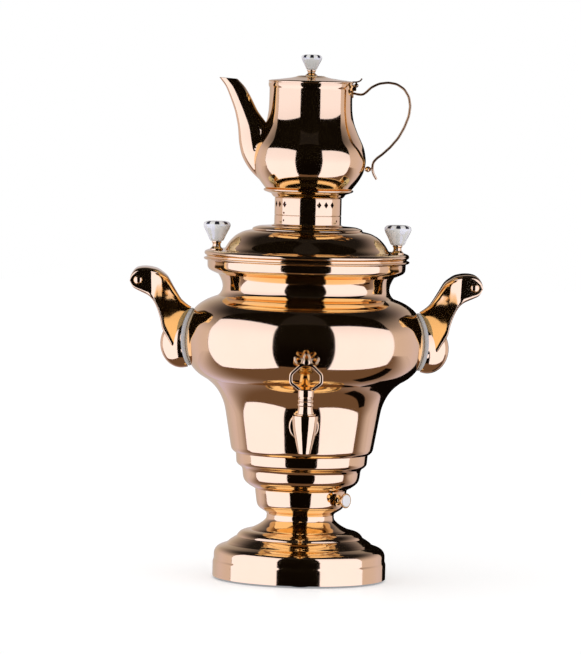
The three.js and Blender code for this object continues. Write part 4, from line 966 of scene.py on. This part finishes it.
for side, x in (("right", 86.0), ("left", -86.0)):
    nodes = [f"lid_ferrule_{side}", f"lid_knob_{side}"]
    knob_pair(f"knob_{side}", x, FLANGE_TOP, (6.2, 7.8, 4, 1.5), (12.9, 19.2), "lid", nodes)

# ---------------- teapot

POT_WALL = 0.9
pot_outline = profile(
    POT_RADIUS,
    TEAPOT_BOTTOM,
    TEAPOT_RIM,
    (0.5, [[0.74, 0], [0.752, 0.004], [0.769, 0.02]]),
    (3.5, [
        [0.769, 0.02], [0.872, 0.089], [0.957, 0.167], [1.003, 0.276], [0.96, 0.408],
        [0.853, 0.522], [0.766, 0.636], [0.732, 0.739], [0.727, 0.85], [0.728, 0.95],
    ]),
    (0.4, [[0.729, 0.952], [0.742, 0.965], [0.747, 0.98], [0.745, 1]]),
)
pot_inner = walled(pot_outline, POT_WALL)[len(sampled(pot_outline)) :]
pot_inner = pot_inner[pot_inner[:, 1] > TEAPOT_BOTTOM + 1.4]
floor_top = TEAPOT_BOTTOM + POT_WALL
pot_floor = [[pot_inner[-1, 0] - 0.8, floor_top], [0, floor_top]]
pot_loop = joined([0, TEAPOT_BOTTOM], sampled(pot_outline), pot_inner, pot_floor)
gold("pot_shell", [turned(pot_loop, TANK_SIDES)], "teapot", "teapot_body")

# The height where the spout's mouth starts to tip, the run and the slope reached
TIP_START, TIP_RUN, TIP_SLOPE = 455, 21, 0.07


def spout():
    """Level ellipses stacked along a gooseneck: each row gives height, outer and inner reach
    and half width. The mouth tips forward, and the wall turns back inside it."""
    rows = [
        [380.0, 47.0, 32, 7.8], [388, 55.6, 32, 11.4], [395.6, 60.8, 32, 12.8],
        [403, 64.6, 32.5, 13], [414.6, 67.2, 34, 12], [430, 68.4, 38.2, 10],
        [444.6, 71.6, 49.9, 8.2], [456, 75.8, 55.6, 7], [468, 80.8, 62.3, 6],
        [476, 87.2, 69.7, 5.2],
    ]
    line = at_fraction(eased(rows, 3.5), np.linspace(0, 1, 90))
    t = np.linspace(0, 2 * np.pi, 64, endpoint=False)[None, :]
    z, far, near, width = (column[:, None] for column in line.T)
    tip = np.clip((z - TIP_START) / TIP_RUN, 0, 1) ** 2 * TIP_SLOPE

    def layer(wall):
        """The ellipses drawn in by a wall."""
        x = -(far + near) / 2 - ((far - near) / 2 - wall) * np.cos(t)
        y = (width - wall) * np.sin(t)
        level = z + tip * (-(far + near) / 2 - x) - tip * (far - near) / 2
        return np.stack([x, y + 0 * x, level], -1)

    outer, inner = layer(0.0), layer(POT_WALL)
    lip = (outer[-1:] + inner[-1:]) / 2 + (0, 0, 0.25)
    return np.concatenate([outer, lip, inner[::-1]]), True, True


gold("pot_spout", [pushed_out(spout(), -0.3, pot_outline)], "teapot", "teapot_spout")

strap_path = [
    [40.5, 463.9], [44.6, 463], [49.4, 462.8], [52.7, 465.5], [57, 469.9], [64.3, 473.7],
    [73.1, 475], [81.1, 473.8], [88.4, 469.2], [93.1, 461.9], [94.6, 453.2], [93.5, 443.7],
    [89.5, 432.8], [84, 422.6], [76.7, 413.8], [69.4, 406.9], [63.6, 402.5], [60.7, 398.9],
    [59.95, 394.1], [61, 388.3], [64.3, 382.9],
]
strap_path = sampled(eased(strap_path, 1.6), 0.8, 3)
# The strap narrows over the last tenth of its length
along = np.linspace(0, 1, len(strap_path))
strap_half = 6.0 - 2.6 * np.clip((along - 0.9) / 0.1, 0, 1) ** 2
strap = carried(strap_path, 1.15, strap_half, 3.5, 28)
pad = eased([[0, 0], [4.4, 0], [4.4, 0.8], [3.6, 1.2], [0, 1.2]], 0.15, 0.08) + (0, 39.3)
pad = moved(turned(sampled(pad, 1, 12), RIVET_SIDES), toward=0.0, height=463.8)
gold("pot_strap", [strap, pad], "teapot", "teapot_handle")
ball = [
    [0, 53.0], [1.9, 53.0], [1.5, 53.6], [2.2, 54.2], [2.9, 55.9], [2.2, 57.6], [1.5, 58.2],
    [1.5, 58.9], [0, 58.9],
]
ball = turned(sampled(eased(ball, 0.2, 0.08), 1, 10), STUD_SIDES)
gold("pot_ball_stud", [moved(ball, toward=0.0, height=392.3)], "teapot", "teapot_handle_stud")

HINGE_X, HINGE_Z = 42.785, 471.4
KNUCKLE_RADIUS, KNUCKLE_BORE, KNUCKLE_EDGE = 2, 1.2, 0.25


def knuckle(low, high):
    """A short bored barrel along Y at the hinge, its edges broken."""
    bore, r, e = KNUCKLE_BORE, KNUCKLE_RADIUS, KNUCKLE_EDGE
    loop = [[bore, low], [r - e, low], [r, low + e], [r, high - e], [r - e, high], [bore, high]]
    return across(turned(loop, HINGE_SIDES), HINGE_X, HINGE_Z)


def plate(x, y, z):
    """A small plate with rounded edges: a superellipse in X and Z carried along Y."""
    c, s = superellipse(48, 8.0)
    middle_x, half_x = sum(x) / 2, (x[1] - x[0]) / 2
    middle_z, half_z = sum(z) / 2, (z[1] - z[0]) / 2
    rows = []
    for level, grow in ((y[0], 0.88), (y[0] + 0.3, 1), (y[1] - 0.3, 1), (y[1], 0.88)):
        wide, tall = middle_x + half_x * grow * c, middle_z + half_z * grow * s
        rows.append(np.stack([wide, np.full(48, level), tall], 1))
    return capped(np.stack(rows))


bracket = []
for low, high in ((-8, -3.3), (3.3, 8)):
    bracket.append(knuckle(low, high))
    bracket.append(plate((38.8, HINGE_X), (low + 0.4, high - 0.4), (466, HINGE_Z)))
gold("hinge_knuckles", bracket, "teapot", "teapot_body")
rod = [[0, -8.4], [1.1, -8.3], [1.1, -8], [0.9, -7.9], [0.9, 7.9], [1.1, 8], [1.1, 8.3], [0, 8.4]]
rod = turned(sampled(eased(rod, 0.08, 0.05), 2, 15), PIN_SIDES)
gold("hinge_rod", [across(rod, HINGE_X, HINGE_Z)], "teapot", "teapot_hinge_pin")

LID_Z = TEAPOT_RIM + SEAT_GAP
cover = [
    [40.0, 0], [40.6, 0.8], [40.4, 1.9], [38.6, 2.2], [30, 3.2], [19.2, 4.7], [14.2, 5.8],
    [12.8, 6.6], [9, 7.0], [0, 7.0],
]
cover = sampled(eased(np.array(cover) + (0, LID_Z), 0.7))
cover_skirt = [[0, 6.0], [12, 4.8], [36.8, 0.9], [36.8, -3.3], [37.8, -3.3], [37.8, 0]]
cover_loop = joined(cover, np.array(cover_skirt) + (0, LID_Z))
lever_path = [[39.0, 474.6], [42.5, 474.7], [45.2, 475.2], [47.2, 476.5], [48.0, 478.2]]
lever_path = sampled(eased(lever_path, 0.8, 0.15), 0.8, 6)
gold(
    "pot_cover",
    [
        turned(cover_loop),
        carried(lever_path, 0.7, np.linspace(3.6, 4.4, len(lever_path)), 4.0, 24),
        knuckle(-3, 3),
        plate((HINGE_X - 0.8, HINGE_X + 0.8), (-2.9, 2.9), (HINGE_Z + 1.0, 474.9)),
    ],
    "teapot_cover",
    "teapot_lid",
)
nodes = ["teapot_ferrule", "teapot_knob"]
knob_pair("pot_knob", 0.0, LID_Z + 6.9, (5.9, 5.3, 1.0, 1.5), (9.9, 14.4), "teapot_cover", nodes)

# ---------------- studio

scene = bpy.context.scene


def stage_plane(name, corners, material, glossy_only=False):
    """A flat studio surface between four corners in metres."""
    mesh = bpy.data.meshes.new(name)
    mesh.from_pydata(corners, [], [(0, 1, 2, 3)])
    obj = bpy.data.objects.new(name, mesh)
    scene.collection.objects.link(obj)
    mesh.materials.append(material)
    if glossy_only:
        obj.visible_camera = False
        obj.visible_diffuse = False
        obj.visible_shadow = False
        obj.visible_transmission = False
    return obj


def level_corners(low, high, z):
    """The corners of a level rectangle between two places in plan."""
    return [(low[0], low[1], z), (high[0], low[1], z), (high[0], high[1], z), (low[0], high[1], z)]


def mixed(tree, share, first, second):
    """Two shaders mixed, from the first at a share of 0 to the second at 1."""
    feeds = {0: share, 1: first.outputs[0], 2: second.outputs[0]}
    return add(tree, "ShaderNodeMixShader", feeds)


def floor_paint():
    """White acrylic. The camera sees it lit from behind as well, with a faint mirror image."""
    material, tree = blank("white_acrylic_floor")
    path = add(tree, "ShaderNodeLightPath").outputs
    paint = add(tree, "ShaderNodeBsdfDiffuse", {"Color": linear("#F4F4F4")})
    glow = add(tree, "ShaderNodeEmission", {"Color": linear("#FFFFFF"), "Strength": 0.32})
    lit = add(tree, "ShaderNodeAddShader", {0: paint.outputs[0], 1: glow.outputs[0]})
    gloss = add(tree, "ShaderNodeBsdfGlossy", {"Color": linear("#FFFFFF"), "Roughness": 0.14})
    close(tree, mixed(tree, path["Is Camera Ray"], paint, mixed(tree, 0.07, lit, gloss)))
    return material


def black_felt():
    """Felt of one even darkness, as a mirror sees it."""
    material, tree = blank("black_felt")
    close(tree, add(tree, "ShaderNodeEmission", {"Color": linear("#0B0706")}))
    return material


def place_along(tree, axis):
    """The place along one axis, in metres."""
    return add(tree, "ShaderNodeSeparateXYZ", {0: object_place(tree)}).outputs[axis]


def faded_card(name, colour, axis, low, high):
    """Cloth whose brightness eases from one value to another along an axis, both given as
    place and strength."""
    material, tree = blank(name)
    fade = smooth_share(tree, place_along(tree, axis), low[0], high[0], low[1], high[1])
    close(tree, add(tree, "ShaderNodeEmission", {"Color": linear(colour), "Strength": fade}))
    return material


def graded_light_card(name, axis, low, high):
    """A glowing surface whose colour eases from one to another along an axis, both given as place
    and hex code. The change is painted light: darker where it stands for shade, brighter where it
    stands for light."""
    material, tree = blank(name)
    share = smooth_share(tree, place_along(tree, axis), low[0], high[0])
    colour = blend_colour(tree, share, low[1], high[1])
    close(tree, add(tree, "ShaderNodeEmission", {"Color": colour}))
    return material


def upright(name, start, end, low, high, material):
    """A standing card between two places in plan, seen by mirrors only."""
    corners = [(*start, low), (*end, low), (*end, high), (*start, high)]
    stage_plane(name, corners, material, glossy_only=True)


def softbox(name, start, end, low, high, radiance):
    """A flat lamp that stands between two places in plan and faces the object."""
    light = bpy.data.lights.new(name, "AREA")
    light.shape = "RECTANGLE"
    a, b = Vector((*start, 0)), Vector((*end, 0))
    light.size, light.size_y = (b - a).length, high - low
    light.energy = radiance * math.pi * light.size * light.size_y
    lamp = bpy.data.objects.new(name, light)
    scene.collection.objects.link(lamp)
    # Mirrors see the lit cloth in its place
    lamp.visible_glossy = False
    middle = (a + b) / 2
    lamp.location = (middle.x, middle.y, (low + high) / 2)
    facing = Vector((b.y - a.y, a.x - b.x, 0)).normalized()
    facing = -facing if facing.dot(middle) > 0 else facing
    lamp.rotation_mode = "QUATERNION"
    lamp.rotation_quaternion = facing.to_track_quat("-Z", "Y")


table = stage_plane("floor", level_corners((-6, -6), (6, 6), 0), floor_paint())
table.visible_glossy = False

# Two softboxes stand near, in plan from beside the camera's line to about level with the object
BOX_LOW, BOX_HIGH, BOX_RADIANCE = -0.27, 0.62, 0.28
LEFT_BOX = ((-0.253, -0.472), (-0.658, 0.097))
RIGHT_BOX = ((0.209, -0.45), (1.0, -0.011))
box_cloth = faded_card("lit_softbox_cloth", "#B0B7FF", "Z", (0.25, 2.87), (0.62, 2.45))
for side, (inner, outer) in (("left", LEFT_BOX), ("right", RIGHT_BOX)):
    softbox(f"softbox_{side}", inner, outer, BOX_LOW, BOX_HIGH, BOX_RADIANCE)
    upright(f"cloth_{side}", inner, outer, BOX_LOW, BOX_HIGH, box_cloth)

# A dark room round the lamps, and a floor below the table that is lit towards the back
CARD_LOW = BOX_LOW - 0.015
FLOOR_Z, FLOOR_FRONT, LIT_FROM, FLOOR_REAR = -0.75, -4.35, -0.97, 2.0
felt = black_felt()
upright("room_front", (-4.2, FLOOR_FRONT), (4.2, FLOOR_FRONT), -5, 5, felt)
upright("room_left", (-0.249, -0.494), (-0.678, 0.107), CARD_LOW, 4, felt)
upright("room_right", (0.195, -0.468), (1.022, -0.012), CARD_LOW, 4, felt)
upright("flag_right", (0.62, 0.78), (0.0, 1.3), -1, 0.55, felt)
# Painted light: the floor card's glow eases from dark at the front to bright towards the back
lit_floor = graded_light_card("lit_studio_floor", "Y", (0.1, "#6F5959"), (1.6, "#D4CCFF"))
for name, low, high, paint in (
    ("floor_dark", FLOOR_FRONT, LIT_FROM, felt),
    ("floor_lit", LIT_FROM, FLOOR_REAR, lit_floor),
):
    stage_plane(name, level_corners((-4, low), (4, high), FLOOR_Z), paint, glossy_only=True)
stage_plane("floor_flag", level_corners((0.45, 0.14), (1.5, 0.45), -0.74), felt, glossy_only=True)


def studio_world():
    """White for the camera and for rays let through. Mirrors see a lilac backdrop that darkens
    upwards and turns grey towards the rear, and everything else gets an even, dimmer white."""
    world = bpy.data.worlds.new("studio")
    scene.world = world
    world.use_nodes = True
    tree = world.node_tree
    tree.nodes.clear()
    path = add(tree, "ShaderNodeLightPath").outputs
    place = add(tree, "ShaderNodeTexCoord").outputs["Generated"]
    way = add(tree, "ShaderNodeSeparateXYZ", {0: place}).outputs
    fade = smooth_share(tree, way["Z"], 0.1, 0.75, 1.1, 0.02)
    hue = blend_colour(tree, smooth_share(tree, way["Y"], 0.6, 1.0), "#D4CCFF", "#C2BABE")
    mirror = add(tree, "ShaderNodeBackground", {"Color": hue, "Strength": fade})
    fill = add(tree, "ShaderNodeBackground", {"Color": linear("#FFFFFF"), "Strength": 0.85})
    white = add(tree, "ShaderNodeBackground", {"Color": linear("#FFFFFF"), "Strength": 1.0})
    seen = mixed(tree, path["Is Glossy Ray"], fill, mirror)
    seen = mixed(tree, path["Is Transmission Ray"], seen, white)
    seen = mixed(tree, path["Is Camera Ray"], seen, white)
    add(tree, "ShaderNodeOutputWorld", {"Surface": seen.outputs[0]})


studio_world()

# A long lens from 4.1 m, level with the teapot's lid and a little to the left. The picture is
# rolled by 1.45 degrees about the line of sight
DISTANCE, EYE_HEIGHT, ROLL, HEADING = 4.1, 0.47, math.radians(1.45), math.radians(0.8)
# The point aimed at: metres to the right of the urn's axis, and its height
AIM_RIGHT, AIM_HEIGHT = -0.0138, 0.2404
PIXEL, PICTURE_HEIGHT, SENSOR = 0.000952, 654, 36
target = Vector((math.cos(HEADING) * AIM_RIGHT, -math.sin(HEADING) * AIM_RIGHT, AIM_HEIGHT))
camera_data = bpy.data.cameras.new("camera")
camera = bpy.data.objects.new("camera", camera_data)
scene.collection.objects.link(camera)
camera.location = target + Vector((-math.sin(HEADING), -math.cos(HEADING), 0)) * DISTANCE
camera.location.z = EYE_HEIGHT
view = (target - camera.location).normalized()
camera_data.sensor_width = SENSOR
camera_data.lens = SENSOR * (target - camera.location).length / (PIXEL * PICTURE_HEIGHT)
camera_data.clip_start, camera_data.clip_end = 0.05, 50
camera.rotation_mode = "QUATERNION"
upright_turn = view.to_track_quat("-Z", "Y").to_matrix()
camera.rotation_quaternion = (Matrix.Rotation(-ROLL, 3, view) @ upright_turn).to_quaternion()
scene.camera = camera
scene.view_settings.view_transform = "Standard"
